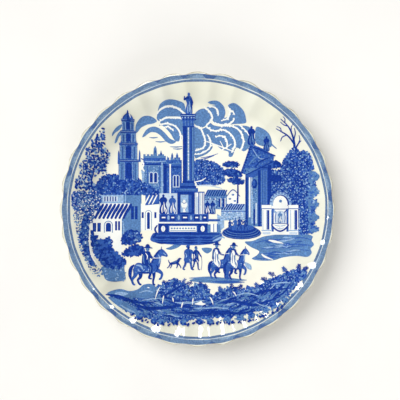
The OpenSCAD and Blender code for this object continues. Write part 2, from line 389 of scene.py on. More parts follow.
def spline(points, closed=False, per=5):
    """A smooth curve through the points, with `per` steps from one to the next."""
    points = np.asarray(points, float)
    if closed:
        before, start, after, last = (np.roll(points, shift, axis=0) for shift in (1, 0, -1, -2))
    else:
        padded = np.concatenate([points[:1], points, points[-1:]])
        before, start, after, last = padded[:-3], padded[1:-2], padded[2:-1], padded[3:]
    t = np.arange(per)[:, None, None] / per
    curve = (2 * start + (after - before) * t + (2 * before - 5 * start + 4 * after - last) * t ** 2
             + (3 * start - before - 3 * after + last) * t ** 3) / 2
    curve = curve.transpose(1, 0, 2).reshape(-1, points.shape[1])
    return curve if closed else np.concatenate([curve, points[-1:]])


def inside(region, points):
    """Which points lie inside a closed outline."""
    x, y = points.T
    found = np.zeros(len(points), bool)
    for (x0, y0), (x1, y1) in zip(region, np.roll(region, -1, axis=0)):
        crosses = (y0 > y) != (y1 > y)
        found ^= crosses & (x < x0 + (y - y0) / (y1 - y0 + 1e-12) * (x1 - x0))
    return found


def lattice(region, spacing):
    """Points of a square grid that lie inside a closed outline."""
    low, high = region.min(axis=0), region.max(axis=0)
    x, y = np.meshgrid(*(np.arange(low[i] + spacing / 2, high[i], spacing) for i in range(2)), indexing="ij")
    points = np.stack([x.ravel(), y.ravel()], axis=1)
    return points[inside(region, points)]


def walk(path, spacing, closed):
    """Points every `spacing` along a path, with the direction out of a counter-clockwise path."""
    if closed:
        path = np.concatenate([path, path[:1]])
    reach = np.concatenate([[0], np.cumsum(np.linalg.norm(np.diff(path, axis=0), axis=1))])
    at = np.linspace(0, reach[-1], max(2, round(reach[-1] / spacing) + 1))[:-1]
    points = np.stack([np.interp(at, reach, path[:, i]) for i in range(2)], axis=1)
    along = np.gradient(points, axis=0)
    along /= np.linalg.norm(along, axis=1, keepdims=True) + 1e-9
    return points, np.stack([along[:, 1], -along[:, 0]], axis=1)


class Drawing:
    """Flat shapes in millimetres, laid over the plate's face as one piece of print."""

    def __init__(self, node, layer=0):
        self.node, self.level, self.height = node, 0, layer * LAYER
        self.points, self.triangles, self.tones, self.heights, self.count = [], [], [], [], 0

    def over(self):
        """What is drawn next crosses what is there, so it stands clear of it where the wall curves."""
        self.level += 1

    def add(self, tone, points, triangles, raised=0):
        """Each shape lies a hair above the one before, and dabs share a few heights in turn."""
        points = np.asarray(points, float)
        self.points.append(points)
        self.triangles.append(np.asarray(triangles, int) + self.count)
        self.tones.append(np.full(len(triangles), TONES.index(tone)))
        self.heights.append(np.tile([self.height + raised * STROKE_STEP, self.level], (len(points), 1)))
        self.count += len(points)
        if not raised:
            self.height += STROKE_STEP

    def poly(self, tone, outline):
        """Any outline, with a grid of extra corners where it crosses the fluted wall."""
        outline = np.asarray(outline, float)
        grid = lattice(outline, WALL_GRID)
        grid = grid[np.hypot(*grid.T) * SCENE > WELL_R - 1]
        corners = [Vector(corner) for corner in np.concatenate([outline, grid])]
        points, _, faces, *_ = delaunay_2d_cdt(corners, [], [list(range(len(outline)))], 1, 1e-4)
        self.add(tone, points, faces)

    def smooth(self, tone, outline):
        self.poly(tone, spline(outline, closed=True, per=4))

    def convex(self, tone, outline, raised=0):
        self.add(tone, outline, [(0, i, i + 1) for i in range(1, len(outline) - 1)], raised)

    def box(self, tone, x0, y0, x1, y1):
        self.convex(tone, rectangle(x0, y0, x1, y1))

    def oval(self, tone, x, y, rx, ry=None):
        corners = 16 if rx > 1 else 8
        turn = np.arange(corners) * 2 * np.pi / corners
        self.convex(tone, np.stack([x + rx * np.cos(turn), y + (ry or rx) * np.sin(turn)], axis=1))

    def arch(self, tone, x0, x1, low, high):
        """An opening with a round head."""
        half, turn = (x1 - x0) / 2, np.radians(np.arange(0, 181, 20))
        head = np.stack([x0 + half + half * np.cos(turn), high - half + half * np.sin(turn)], axis=1)
        self.convex(tone, np.concatenate([[(x0, low), (x1, low)], head]))

    def stroke(self, tone, points, per=4, raised=0):
        """A brush stroke with round ends, through (x, y, width) points."""
        line = spline(points, per=per)
        along = np.gradient(line[:, :2], axis=0)
        along /= np.linalg.norm(along, axis=1, keepdims=True) + 1e-9
        side = np.stack([-along[:, 1], along[:, 0]], axis=1) * np.maximum(line[:, 2:], 0.1) / 2
        tips = line[[0, -1], :2] + along[[0, -1]] * line[[0, -1], 2:] * [[-0.42], [0.42]]
        n = len(line)
        outline = np.concatenate([line[:, :2] + side, line[:, :2] - side, tips])
        strip = [(i, i + 1, n + i + 1) for i in range(n - 1)] + [(i, n + i + 1, n + i) for i in range(n - 1)]
        self.add(tone, outline, strip + [(0, n, 2 * n), (n - 1, 2 * n - 1, 2 * n + 1)], raised)

    def strokes(self, tone, *lines):
        for points in lines:
            self.stroke(tone, points)

    def boxes(self, tone, *corners):
        for x0, y0, x1, y1 in corners:
            self.box(tone, x0, y0, x1, y1)

    def dabs(self, tones, centres, size, rng, stretch=1.5):
        """Small leaf-shaped dabs, in clumps of like tone. tones run from the shade to the light."""
        x, y = centres.T
        clump = np.sin(x * 0.62 + 2 * np.sin(y * 0.33)) * np.cos(y * 0.7 + 1.6 * np.sin(x * 0.29))
        pick = 0.5 + 0.26 * clump + 0.5 * (rng.random(len(centres)) - 0.5)
        pick = (np.clip(pick, 0, 0.999) * len(tones)).astype(int)
        turn = np.arange(6) * np.pi / 3
        lean = rng.random(len(centres)) * np.pi
        long = size * (0.7 + 0.6 * rng.random(len(centres))) * stretch ** 0.5 / 2
        wide = long / stretch
        uneven = 0.8 + 0.4 * rng.random((len(centres), 6))
        u = np.cos(turn) * long[:, None] * uneven
        v = np.sin(turn) * wide[:, None] * uneven
        px = x[:, None] + u * np.cos(lean)[:, None] - v * np.sin(lean)[:, None]
        py = y[:, None] + u * np.sin(lean)[:, None] + v * np.cos(lean)[:, None]
        for i, outline in enumerate(np.stack([px, py], axis=2)):
            self.convex(tones[pick[i]], outline, 1 + i % DAB_HEIGHTS)
        self.height += (DAB_HEIGHTS + 1) * STROKE_STEP

    def scatter(self, tones, outline, spacing, size, seed, stretch=1.5):
        """Dabs all over a region."""
        rng = np.random.default_rng(seed)
        centres = lattice(outline, spacing)
        centres = centres + spacing * 0.8 * (rng.random(centres.shape) - 0.5)
        self.dabs(tones, centres, size, rng, stretch)

    def fringe(self, tone, path, spacing, size, seed):
        """Dabs along a path, as leaves stand out from a bush."""
        rng = np.random.default_rng(seed)
        centres, _ = walk(spline(path), spacing, False)
        self.dabs((tone,), centres + (rng.random(centres.shape) - 0.5) * size, size, rng)

    def foliage(self, outline, seed, tones, base="blue", spacing=2, ragged=1.6, specks=()):
        """A mass of leaves with a lobed edge and larger lumps inside it. specks are small dabs on top."""
        path = spline(outline, closed=True)
        if np.cross(path, np.roll(path, -1, axis=0)).sum() < 0:
            path = path[::-1]
        edge, out = walk(path, 0.6, True)
        beat = np.arange(len(edge))
        lobes = np.abs(np.sin(beat * 0.5 + np.sin(beat * 0.21 + seed)))
        self.poly(base, edge + out * (lobes[:, None] - 0.5) * ragged)
        self.over()
        self.scatter(tones[:-1], edge - out * spacing * 0.9, spacing * 2.2, spacing * 2.4, seed + 100, 1.8)
        self.over()
        self.scatter(tones, path, spacing, spacing * 1.1, seed, 1.7)
        if specks:
            self.scatter(specks, path, 2.6, 1.15, seed + 200, 1.6)

    def strata(self, outline, tones, spacing, seed, middle=(0, 0)):
        """Wavy strokes around `middle`, as an engraver shades a bank of earth."""
        rng = np.random.default_rng(seed)
        mid_x, mid_y = middle
        for i, (x, y) in enumerate(lattice(outline, spacing)):
            x, y = x + spacing * (rng.random() - 0.5), y + spacing * (rng.random() - 0.5)
            reach, width, bend = 3 + 5 * rng.random(), 0.7 + 1.1 * rng.random(), 1.6 * (rng.random() - 0.5)
            r, at = math.hypot(x - mid_x, y - mid_y), math.atan2(y - mid_y, x - mid_x)
            line = []
            for step, thick in ((-1, 0.3), (-0.4, 0.9), (0.3, 1.0), (1, 0.3)):
                turn, out = at + step * reach / r, r + bend * math.sin(step * 3)
                line.append((mid_x + out * math.cos(turn), mid_y + out * math.sin(turn), thick * width))
            if inside(outline, np.array(line)[[0, 3], :2]).all():
                self.stroke(tones[int(rng.random() * len(tones))], line, 3, 1 + i % DAB_HEIGHTS)
        self.height += (DAB_HEIGHTS + 1) * STROKE_STEP

    def sprig(self, tone, x, y, reach, turn):
        """A twig with leaves on both sides, from (x, y) towards `turn` degrees."""
        turn = math.radians(turn)
        along, side = np.array([math.cos(turn), math.sin(turn)]), np.array([-math.sin(turn), math.cos(turn)])
        start = np.array([x, y])
        tip = start + along * reach
        self.stroke(tone, [(*start, 0.7), (*((start + tip) / 2 + side * 0.4), 0.6), (*tip, 0.5)])
        for i in range(4):
            root = start + along * reach * (0.24 + 0.24 * i)
            for hand in (-1, 1):
                leaf = root + along * 1.5 + side * hand * (2.6 - 0.4 * i)
                bend = (root + leaf) / 2 + along * 0.3
                self.stroke(tone, [(*root, 0.4), (*bend, 0.95), (*leaf, 0.3)], 3)

    def lay(self):
        """Makes the piece, folded over the flutes."""
        corners = np.concatenate([np.concatenate(self.points) * SCENE, np.concatenate(self.heights)], axis=1)
        points, triangles, tones = refine(corners, np.concatenate(self.triangles),
                np.concatenate(self.tones))
        a, b, c = (points[triangles[:, i], :2] for i in range(3))
        signed = (b - a)[:, 0] * (c - a)[:, 1] - (b - a)[:, 1] * (c - a)[:, 0]
        triangles[signed < 0] = triangles[signed < 0][:, ::-1]
        keep = np.abs(signed) > 1e-5
        triangles, tones = triangles[keep], tones[keep]
        x, y, height, level = points.T
        on_wall = smooth((np.hypot(x, y) - WELL_R + 2) / 8)
        gap = INK_GAP + height + (WALL_GAP + LEVEL_STEP * level) * on_wall
        used = sorted(set(tones.tolist()))
        slots = {tone: i for i, tone in enumerate(used)}
        piece = make_object(self.node.replace("print", "ink"),
                np.stack([x, y, face_at(x, y) + gap], axis=1), triangles.tolist(),
                [INKS[TONES[tone]] for tone in used], [slots[tone] for tone in tones.tolist()],
                face_normals(x, y))
        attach(piece, "root")
        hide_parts(self.node)


def refine(points, triangles, tones, longest=1.5):
    """Halves every edge over the fluted wall that is longer than `longest`, until none is left."""
    while True:
        pairs = np.sort(triangles[:, [[0, 1], [1, 2], [2, 0]]], axis=2).reshape(-1, 2)
        edges, where = np.unique(pairs[:, 0] * len(points) + pairs[:, 1], return_inverse=True)
        first, second = points[edges // len(points)], points[edges % len(points)]
        length = np.linalg.norm((first - second)[:, :2], axis=1)
        reach = np.maximum(np.linalg.norm(first[:, :2], axis=1), np.linalg.norm(second[:, :2], axis=1))
        split = (length > longest) & (reach > WELL_R - 2)
        if not split.any():
            return points, triangles, tones
        middle = np.full(len(edges), -1)
        middle[split] = len(points) + np.arange(split.sum())
        points = np.concatenate([points, (first[split] + second[split]) / 2])
        mids = middle[where.reshape(-1)].reshape(-1, 3)
        halves = (mids >= 0).sum(axis=1)
        out, out_tones = [triangles[halves == 0]], [tones[halves == 0]]

        def keep(chosen, *parts):
            for part in parts:
                out.append(np.stack(part, axis=1))
                out_tones.append(tones[chosen])

        for turn in range(3):
            v, m = np.roll(triangles, -turn, axis=1), np.roll(mids, -turn, axis=1)
            one = (halves == 1) & (m[:, 0] >= 0)
            (v0, v1, v2), m01 = v[one].T, m[one][:, 0]
            keep(one, (v0, m01, v2), (m01, v1, v2))
            two = (halves == 2) & (m[:, 2] < 0)
            (v0, v1, v2), (m01, m12) = v[two].T, m[two][:, :2].T
            keep(two, (v1, m12, m01), (v0, m01, m12), (v0, m12, v2))
        three = halves == 3
        (v0, v1, v2), (m01, m12, m20) = triangles[three].T, mids[three].T
        keep(three, (v0, m01, m20), (v1, m12, m01), (v2, m20, m12), (m01, m12, m20))
        triangles, tones = np.concatenate(out), np.concatenate(out_tones)


# ---------------------------------------------------------------- the printed scene
def turned(points, x, y, scale=1.0, facing=1):
    """Points drawn around an origin, moved to (x, y). A third column is a stroke's width."""
    points = np.asarray(points, float) * scale
    points[:, 0] = points[:, 0] * facing + x
    points[:, 1] += y
    return points


def rectangle(x0, y0, x1, y1):
    return np.array([(x0, y0), (x1, y0), (x1, y1), (x0, y1)], float)


def statue(art, x, y, height, tone, light, girth=1):
    """A draped standing figure, in stone."""
    art.smooth(tone, turned([
        (-0.17, 0), (-0.2, 0.25), (-0.13, 0.5), (-0.2, 0.68), (-0.14, 0.82), (0, 0.87), (0.14, 0.82),
        (0.2, 0.68), (0.13, 0.5), (0.21, 0.22), (0.17, 0)], x, y, height, girth))
    art.oval(tone, x, y + height * 0.925, height * 0.065, height * 0.075)
    art.over()
    for side, low, high in ((-0.06, 0.05, 0.45), (0.04, 0.12, 0.6), (0.11, 0.02, 0.35)):
        art.stroke(light, turned([(side, low, 0.03), (side * 1.3, (low + high) / 2, 0.06),
                (side * 0.6, high, 0.02)], x, y, height, girth))


def clouds():
    """Billows of flat mid blue, cut into crescents by thin white lines."""
    art = Drawing("cloud_print")
    billows = [
        # left of the column
        [(-38.6, 95.5), (-36.5, 101.6), (-31, 105.4), (-25, 106.4), (-18, 105), (-12.6, 101.6),
         (-11.6, 90), (-13.6, 78), (-16, 68), (-20, 66), (-23, 68), (-27, 74.5), (-34, 81.5),
         (-37.6, 81.4), (-36.4, 84.6), (-39.6, 87.6), (-39.4, 91.4)],
        [(-60.6, 75), (-60, 82), (-56, 88), (-51, 90.6), (-44.6, 90), (-39.6, 86), (-43.6, 83.4),
         (-49, 82.4), (-55, 79.4), (-58.6, 75)],
        [(-54, 70.6), (-50.4, 77), (-44.6, 80.4), (-38.6, 79.6), (-32.4, 75), (-27, 69), (-21, 66),
         (-25.4, 63.6), (-31, 66), (-35, 70.6), (-40, 74.4), (-46, 75), (-51.6, 71)],
        [(-73, 82), (-77.6, 80), (-82, 74.6), (-82.6, 70.6), (-79.6, 74), (-75, 77.6)],
        [(-73, 77), (-77.6, 73), (-80.6, 64.6), (-78.6, 65), (-76, 70.6), (-72.6, 73.4)],
        # right of the column
        [(-3.6, 84), (-3, 92), (1, 96.6), (6, 98), (9.4, 97), (13, 92.4), (13.4, 88), (10.6, 84),
         (8, 81.4), (3, 79.6)],
        [(10, 103.6), (14, 105.2), (20, 104.8), (25.4, 100), (27.2, 94), (26.2, 89), (30.4, 91.4),
         (30.6, 97), (29.8, 101), (35, 102.8), (40, 100.4), (45, 95), (47, 88.6), (46.6, 83.8), (35, 83),
         (27, 81.6), (20, 82.6), (15, 86), (14.2, 91), (12, 96), (9, 98.8), (13, 100.4), (17.6, 101.2),
         (13, 102)],
        [(11.6, 84.6), (16, 81.8), (24, 80.6), (32, 82), (41, 81.6), (50, 80.4), (55, 74), (55, 66),
         (50, 60), (45, 56.4), (38, 60), (34, 51.6), (30.4, 51.6), (30, 56), (24, 58), (20, 61), (14, 65),
         (14.6, 60), (10, 54.6), (2, 51), (-3, 52), (-3, 80.6), (1.6, 78), (8, 80)],
        [(56.8, 79.4), (63, 78.6), (69, 74), (72, 68), (72, 61), (66, 61), (57, 65)],
    ]
    for billow in billows:
        art.smooth("cloud", billow)
    art.over()
    cuts = [
        [(-39.6, 93, 1), (-35, 97.6, 1.8), (-28, 100, 1.9), (-20, 98.4, 1.8), (-12, 92.6, 1.8)],
        [(-37.4, 85.4, 1), (-31, 89, 1.6), (-24, 89.4, 2), (-16.6, 89, 2), (-12, 86.4, 1.8)],
        [(-36.6, 82.6, 1.4), (-30.6, 83.4, 1.4), (-24.6, 82.4, 1.5), (-19.4, 78.6, 1.6), (-16.4, 72, 1.6),
         (-17.2, 66.4, 1.2)],
        [(-34, 79.6, 0.8), (-28.4, 80.6, 1.2), (-23.6, 76.4, 0.9)],
        [(7, 98.4, 1.2), (11.6, 95.4, 1.6), (14.4, 89.6, 1.7), (12.6, 85.6, 1.8), (8.8, 81.6, 1.6),
         (11.4, 78.4, 1.4), (16.6, 76.4, 1.4), (24.6, 77.4, 1.5), (31, 74.4, 1.6), (35.6, 68.4, 1.7),
         (36.4, 62, 1.7), (33.4, 55.4, 1.4)],
        [(11, 99.8, 1.1), (16.4, 99.2, 1.4), (19.8, 95.6, 1.5), (20, 91, 0.8)],
        [(24.4, 86.8, 1), (29, 88.4, 1.6), (31.6, 94.4, 1.5), (29.6, 99.4, 1)],
        [(30, 97.6, 0.8), (34, 95, 1.2), (36.2, 92, 0.7)],
        [(15, 84.6, 1), (22.6, 82.4, 1.4), (30, 82.8, 1.6), (34.6, 86, 1.7), (35.6, 89, 0.8)],
        [(24, 81.2, 1), (33, 81.2, 1.4), (40, 77.6, 1.6), (44, 71, 1.7), (44.6, 63.6, 1.7), (41, 56, 1.6)],
        [(41.6, 81.4, 1), (47.6, 76, 1.4), (52, 70, 1.5), (54.6, 64.6, 1.2)],
        [(18.6, 70.8, 0.9), (24.6, 71.4, 1.3), (28.6, 66.6, 1.5), (28.6, 59, 1.2)],
        [(-3, 81.2, 1), (2.6, 79.6, 1.4), (5.6, 73, 1.6), (7.6, 66, 1.7), (5.4, 60, 1.6), (-2, 57, 1.3)],
        [(9.6, 72.4, 1), (12.8, 66.4, 1.4), (11.4, 59.4, 1.4), (4, 54.4, 1.2), (-3, 53.4, 0.9)],
    ]
    for seed, cut in enumerate(cuts):
        art.stroke("white", cut)
        art.fringe("white", [point[:2] for point in cut], 1.7, 1.7, seed + 300)
    art.over()
    fine_cuts = [
        [(9, 66, 0.8), (20, 62, 1.3), (36, 56, 0.8)],
        [(19, 55.6, 0.7), (26, 59, 1.1), (33, 63.6, 0.7)],
        [(22, 66.4, 0.6), (25, 60, 1), (24, 54, 0.6)],
    ]
    art.strokes("white", *fine_cuts)
    for x0, x1, y in ((-47, -39, 70), (-41, -31.5, 66), (-27, -15, 61), (-24, -15, 59)):
        art.stroke("cloud", [(x0, y, 0.4), ((x0 + x1) / 2, y - 0.4, 1.2), (x1, y + 0.2, 0.6)])
    for x0, x1, y in ((0, 16, 49.6), (3, 20, 51.6)):
        art.stroke("blue", [(x0, y - 1.6, 0.5), ((x0 + x1) / 2, y - 0.2, 0.9), (x1, y + 2.6, 0.4)])
    art.stroke("cloud", [(71, 64.5, 2), (73.4, 62, 1.2), (76.8, 59, 0.8)])
    art.lay()


def column():
    """A tall monument: a statue on a fluted column, on a panelled pedestal."""
    art = Drawing("column_print", 4)
    statue(art, -8.4, 92.5, 20, "blue", "pale", 0.78)
    art.strokes("dark", [(-6.2, 94, 0.8), (-5.6, 99, 1.1), (-6.4, 105, 0.6)],
            [(-8.4, 107.6, 2.2), (-11, 107.4, 1.8), (-12.8, 106, 1.4), (-12.6, 109.2, 0.9)],
            [(-6.4, 107, 1.8), (-5, 103.6, 1.6), (-6, 100, 1.2)])
    # capital
    art.poly("dark", [(-16.8, 93), (-1.8, 93), (-2.4, 88.6), (-16.2, 88.6)])
    art.poly("blue", [(-15.6, 88.6), (-2.8, 88.6), (-3.4, 80.6), (-14.4, 80.6)])
    # shaft, lit from the right
    art.box("dark", -14.4, 24, -10.4, 81)
    art.box("blue", -10.4, 24, -3.2, 81)
    # base and pedestal
    for half, low, high, tone in ((5.6, 25.4, 27.4, "dark"), (6.6, 22.6, 25.4, "blue"),
            (7.8, 20.6, 22.6, "dark"), (9.6, 17, 20.6, "blue")):
        art.box(tone, -9.2 - half, low, -9.2 + half, high)
    art.box("dark", -19.8, -4.8, -2.6, 17)
    art.box("white", -2.6, -4.8, 6.8, 17)
    art.over()
    art.stroke("pale", [(-16, 91.6, 0.5), (-9, 91.2, 0.7), (-2.6, 91.6, 0.5)])
    for x in (-15, -12, -9, -6, -3.4):
        art.oval("pale", x, 89.4, 0.8)
        art.oval("dark", x + 1.3, 87.4, 0.8)
        art.stroke("mid", [(x * 0.97 - 0.4, 86, 0.9), (x * 0.94 - 0.6, 83, 0.7),
                (x * 0.92 - 0.8, 81.4, 0.5)])
    art.box("dark", -14.8, 80.2, -3, 81)
    art.box("mid", -5.4, 28, -3.8, 80)
    art.box("dark", -6.6, 28, -5.8, 80)
    art.box("mid", -10.2, 28, -7.8, 80)
    art.box("pale", -16.6, -3.2, -5.8, 14)
    art.box("mid", -17, 18.4, -2, 19.4)
    art.over()
    for step in range(36):
        art.oval("white" if step % 3 else "faint", -8.9, 29 + step * 1.43, 0.5 + 0.14 * (step % 2), 0.6)
    art.box("blue", -9, -3.2, -5.8, 14)
    # an urn in the panel
    art.smooth("white", [(-14.6, -2.6), (-11.6, -2.6), (-12.4, -0.6), (-10.4, 2.6), (-10.2, 5.6),
            (-11.8, 7.4), (-12.2, 9), (-14, 9), (-14.4, 7.4), (-16, 5.6), (-15.6, 2.6), (-13.8, -0.6)])
    for x, tone, width in ((-1.6, "pale", 0.8), (1.2, "blue", 1.1), (2.6, "pale", 0.7), (4.6, "dark", 0.7),
                           (6.3, "blue", 0.8)):
        art.box(tone, x - width / 2, -4.8, x + width / 2, 16)
    art.box("blue", -2.6, 16, 6.8, 17)
    art.over()
    art.box("faint", -1, -4, 0.6, 12)
    art.strokes("blue", [(-15, 6.6, 0.5), (-13.2, 5.6, 0.7), (-11, 6.6, 0.5)],
            [(-14.4, 1.4, 0.4), (-13.2, 0.8, 0.6), (-12, 1.4, 0.4)])
    art.lay()


def plinth():
    """The monument's stepped base, with a row of panels and a carved frieze."""
    art = Drawing("plinth_print", 3)
    panels = ((-36.4, 6.4), (-27, 5.6), (-15.6, 6.6), (-3.6, 5.6), (4.6, 5))
    art.smooth("blue", [(-44.4, -25), (-40, -23), (-20, -23), (4, -23), (21, -23), (24, -26), (22, -31),
            (14, -34), (-2, -35.2), (-18, -35), (-34, -33.8), (-45.6, -31)])
    art.box("blue", -38.5, -14, 9.8, -23)
    art.box("white", -38.5, -12.6, 11.4, -14)
    art.box("blue", -37.5, -4.8, 10.8, -12.6)
    art.poly("mid", [(9.8, -15), (22, -15), (23, -23), (9.8, -23)])
    # the upper block behind the pedestal, with two stone figures each side
    art.box("faint", -37.2, -4.8, -19.8, 15.4)
    art.box("pale", 6.8, -4.8, 17.6, 9)
    art.over()
    for x, width in panels:
        art.box("dark", x, -11.6, x + width, -5.8)
    art.box("dark", -38.5, -14.2, 10, -15.4)
    art.stroke("dark", [(-43, -24.4, 1), (-20, -24, 2.2), (0, -24.2, 2.2), (21, -24.4, 1)])
    for x in (-42, -30, -15, 2):
        art.strokes("dark", [(x, -27.4, 0.8), (x + 6, -28, 2.6), (x + 16, -27.6, 0.8)],
                [(x + 1, -30.4, 0.5), (x + 7, -30.8, 1.2), (x + 15, -30.4, 0.5)],
                [(x + 1, -32.4, 0.7), (x + 7, -33, 2.2), (x + 15, -32.6, 0.7)])
    art.boxes("dark", (-38.5, -15.4, -28.6, -23), (0.4, -15.4, 9.8, -23))
    art.box("white", -27.4, -16.6, -1, -22)
    for x in (12.8, 16.2):
        art.box("white", x, -14.4, x + 2.6, -22.4)
        art.box("blue", x + 2.6, -14.4, x + 3.3, -22.4)
    for x, height, tone, light in ((-33.4, 19, "dark", "white"), (-24.6, 18, "blue", "white"),
                                   (9.6, 13, "dark", "white"), (14.8, 13, "dark", "pale")):
        statue(art, x, -4.6, height, tone, light)
    art.over()
    for x, width in panels:
        art.box("white", x + 1.4, -8.9, x + width - 1.4, -7.6)
    for x in (-28.4, -18.4, -6.4, 3.2):
        art.oval("pale", x, -8.4, 1.1, 2.2)
    for x in (-33.6, 5):
        art.oval("white", x, -19.2, 2, 2.9)
        art.box("faint", x - 0.4, -21.6, x + 0.4, -16.6)
    # beads on the white panel
    for step in range(9):
        art.oval("mid", -25.2 + step * 2.75, -18.8, 1, 0.8)
    art.box("mid", -26.6, -21.2, -1.8, -20.6)
    # scrolls at the ends of the steps
    art.stroke("pale", [(15, -31.4, 0.8), (19.4, -29.4, 2), (24, -27.4, 1.6), (26.4, -28.4, 0.8)])
    art.stroke("mid", [(14.6, -28.6, 0.6), (18, -26.8, 1.4), (22, -25.2, 0.6)])
    art.stroke("dark", [(-39.4, -16, 1.2), (-41.6, -19.6, 1.8), (-40.4, -24, 1.6), (-43.4, -27.6, 2.2)])
    art.lay()


def tower(art, x, tiers):
    """A square tower of tiers, each (half width, foot, head) with pilasters, an arch and a cornice."""
    for half, low, high in tiers:
        art.box("blue", x - half, low, x + half, high)
    art.over()
    for half, low, high in tiers:
        art.scatter(("dark", "mid", "blue", "mid"), rectangle(x - half + 0.6, low, x + half - 0.6, high),
                1.7, 1.3, 310, 1.6)
    art.over()
    for half, low, high in tiers:
        art.boxes("mid", (x - half + 0.6, low + 1, x - half * 0.45, high - 2),
                (x + half * 0.5, low + 1, x + half - 0.8, high - 2))
        art.arch("dark", x - half * 0.3, x + half * 0.3, low + 1.6, high - 2.6)
        art.box("dark", x - half - 0.5, high - 1.9, x + half + 0.5, high - 0.9)
    art.over()
    for half, low, high in tiers:
        for place in (-0.9, -0.4, 0.4, 0.9):
            art.box("pale", x + half * place - 0.2, low + 0.6, x + half * place + 0.2, high - 2.4)
        for place in (-0.66, 0.66):
            art.box("dark", x + half * place - 0.4, low + 1.4, x + half * place + 0.4, high - 3.6)
        art.box("pale", x - half - 0.5, high - 0.9, x + half + 0.5, high - 0.5)
        art.box("dark", x - half - 0.5, high - 0.5, x + half + 0.5, high + 0.3)


def church():
    """A baroque church: a tall bell tower, then a battlemented nave with paired windows."""
    art = Drawing("church_print", 1)
    windows = ((-46.6, -43.8, 26, 35.6), (-42.4, -39.6, 26, 35.6), (-23.4, -21.4, 22, 32.6),
               (-20.4, -18.4, 22, 32.6))
    # nave
    art.box("mid", -53, 15, -31, 52)
    art.box("blue", -33.4, 15, -15.4, 48)
    art.over()
    art.scatter(("blue", "mid", "pale", "mid", "blue"), rectangle(-52.4, 16, -34, 43), 1.9, 1.3, 301, 1.8)
    art.scatter(("dark", "blue", "mid", "blue"), rectangle(-30, 16, -16, 40), 1.9, 1.3, 302, 1.8)
    art.over()
    art.box("blue", -53, 44, -31, 50)
    art.boxes("dark", (-33.2, 15, -30.2, 44), (-54, 43, -31.4, 44.4), (-31, 40.4, -15.4, 41.8))
    for x in (-53, -49.4, -45.8, -42.2, -38.6, -35):
        art.box("mid", x, 50, x + 2.2, 53.6)
    for x in (-30, -26.4, -22.8, -19.2):
        art.box("blue", x, 47, x + 2.2, 50.4)
    art.scatter(("dark", "mid", "blue"), rectangle(-52.4, 44.8, -16, 49), 1.9, 1.2, 303, 1.6)
    # turrets and pinnacles
    for x, low, high, half in ((-41.4, 51, 62, 2), (-35.7, 51, 57.5, 1.3), (-24.8, 48, 55.5, 1.4),
                               (-20, 48, 55.5, 1.6), (-29.4, 48, 52, 1)):
        art.poly("mid", [(x - half, low), (x + half, low), (x + half * 0.7, high - 3), (x, high),
                         (x - half * 0.7, high - 3)])
    art.over()
    for x0, x1, low, high in windows:
        art.arch("faint", x0 - 0.8, x1 + 0.8, low - 0.8, high + 0.8)
    for x, low, high, tone in ((-35.4, 15, 44, "pale"), (-27.4, 15, 43, "white"), (-53.4, 20, 36, "pale")):
        art.box(tone, x, low, x + 1.3, high)
        art.poly(tone, [(x - 0.5, high), (x + 1.8, high), (x + 0.65, high + 2.2)])
    art.stroke("pale", [(-52.6, 46.8, 0.8), (-42, 46.2, 1), (-31.6, 46.8, 0.8)])
    art.stroke("mid", [(-30, 44.6, 0.8), (-22, 44.2, 1), (-16, 44.6, 0.8)])
    art.over()
    for x0, x1, low, high in windows:
        art.arch("dark", x0, x1, low, high)
    for x, y in ((-41.4, 56.5), (-35.7, 54), (-24.8, 51.8), (-20, 51.8)):
        art.box("dark", x - 0.5, y - 1.8, x + 0.5, y + 1.2)
    for x in (-49.4, -37.4):
        art.box("blue", x, 20, x + 1, 42)
    # volutes between tower and nave
    art.stroke("white", [(-55.5, 47, 1.4), (-52.6, 44, 1.8), (-53.8, 40.4, 1.4), (-52, 37, 1)])
    art.stroke("pale", [(-54.4, 38, 1.6), (-53.4, 31, 1.8), (-53.8, 24, 1.4)])
    art.stroke("blue", [(-55, 49.4, 1), (-51.6, 47, 0.9), (-52, 43, 0.8)])
    # tower
    tower(art, -67.4, [(9.8, 28, 48), (8.6, 48, 64.4), (7.2, 64.4, 76), (5.8, 76, 87)])
    art.smooth("blue", [(-71.8, 86.4), (-71.9, 89), (-70.2, 91.2), (-68.5, 92.6), (-67.4, 93.6),
            (-66.3, 92.6), (-64.6, 91.2), (-62.9, 89), (-63, 86.4)])
    art.over()
    art.stroke("dark", [(-67.4, 91.6, 1.8), (-67.4, 93.6, 1.4), (-67.4, 95.4, 0.6)])
    art.stroke("white", [(-66.2, 92, 0.5), (-65.4, 90.6, 0.9), (-65, 88.6, 0.5)])
    art.strokes("dark", [(-71.4, 87.4, 0.8), (-70.6, 90, 0.9), (-68.6, 92, 0.6)],
            [(-67.4, 86.6, 1.2), (-67.4, 90.4, 1.4)])
    for x, low, high in ((-77, 44, 57.6), (-56.6, 46, 58), (-74.4, 62, 68), (-60.2, 62, 68)):
        art.poly("blue", [(x - 1.1, low), (x + 1.1, low), (x + 0.7, high - 3), (x, high),
                (x - 0.7, high - 3)])
    art.lay()


def hedge():
    """A dark clipped wood in front of the church."""
    art = Drawing("hedge_print", 2)
    art.foliage([(-104.6, 15.2), (-103, 19.4), (-99, 23), (-95, 30), (-89, 33), (-83, 34), (-75, 32.6),
            (-68, 33.6), (-60, 31), (-54, 26.4), (-46, 22.6), (-40, 19), (-37, 15.6), (-50, 14.2),
            (-75, 14.2), (-95, 14.6)], 11, ("dark", "dark", "dark", "blue", "blue", "mid"), base="blue",
            spacing=2, specks=("mid", "dark", "pale"))
    art.over()
    art.stroke("pale", [(-71.4, 15.6, 1.2), (-69.6, 18, 1), (-67.8, 19, 0.5)])
    art.stroke("mid", [(-62, 14.8, 0.6), (-60, 18, 1.2), (-56, 21, 0.5)])
    art.lay()


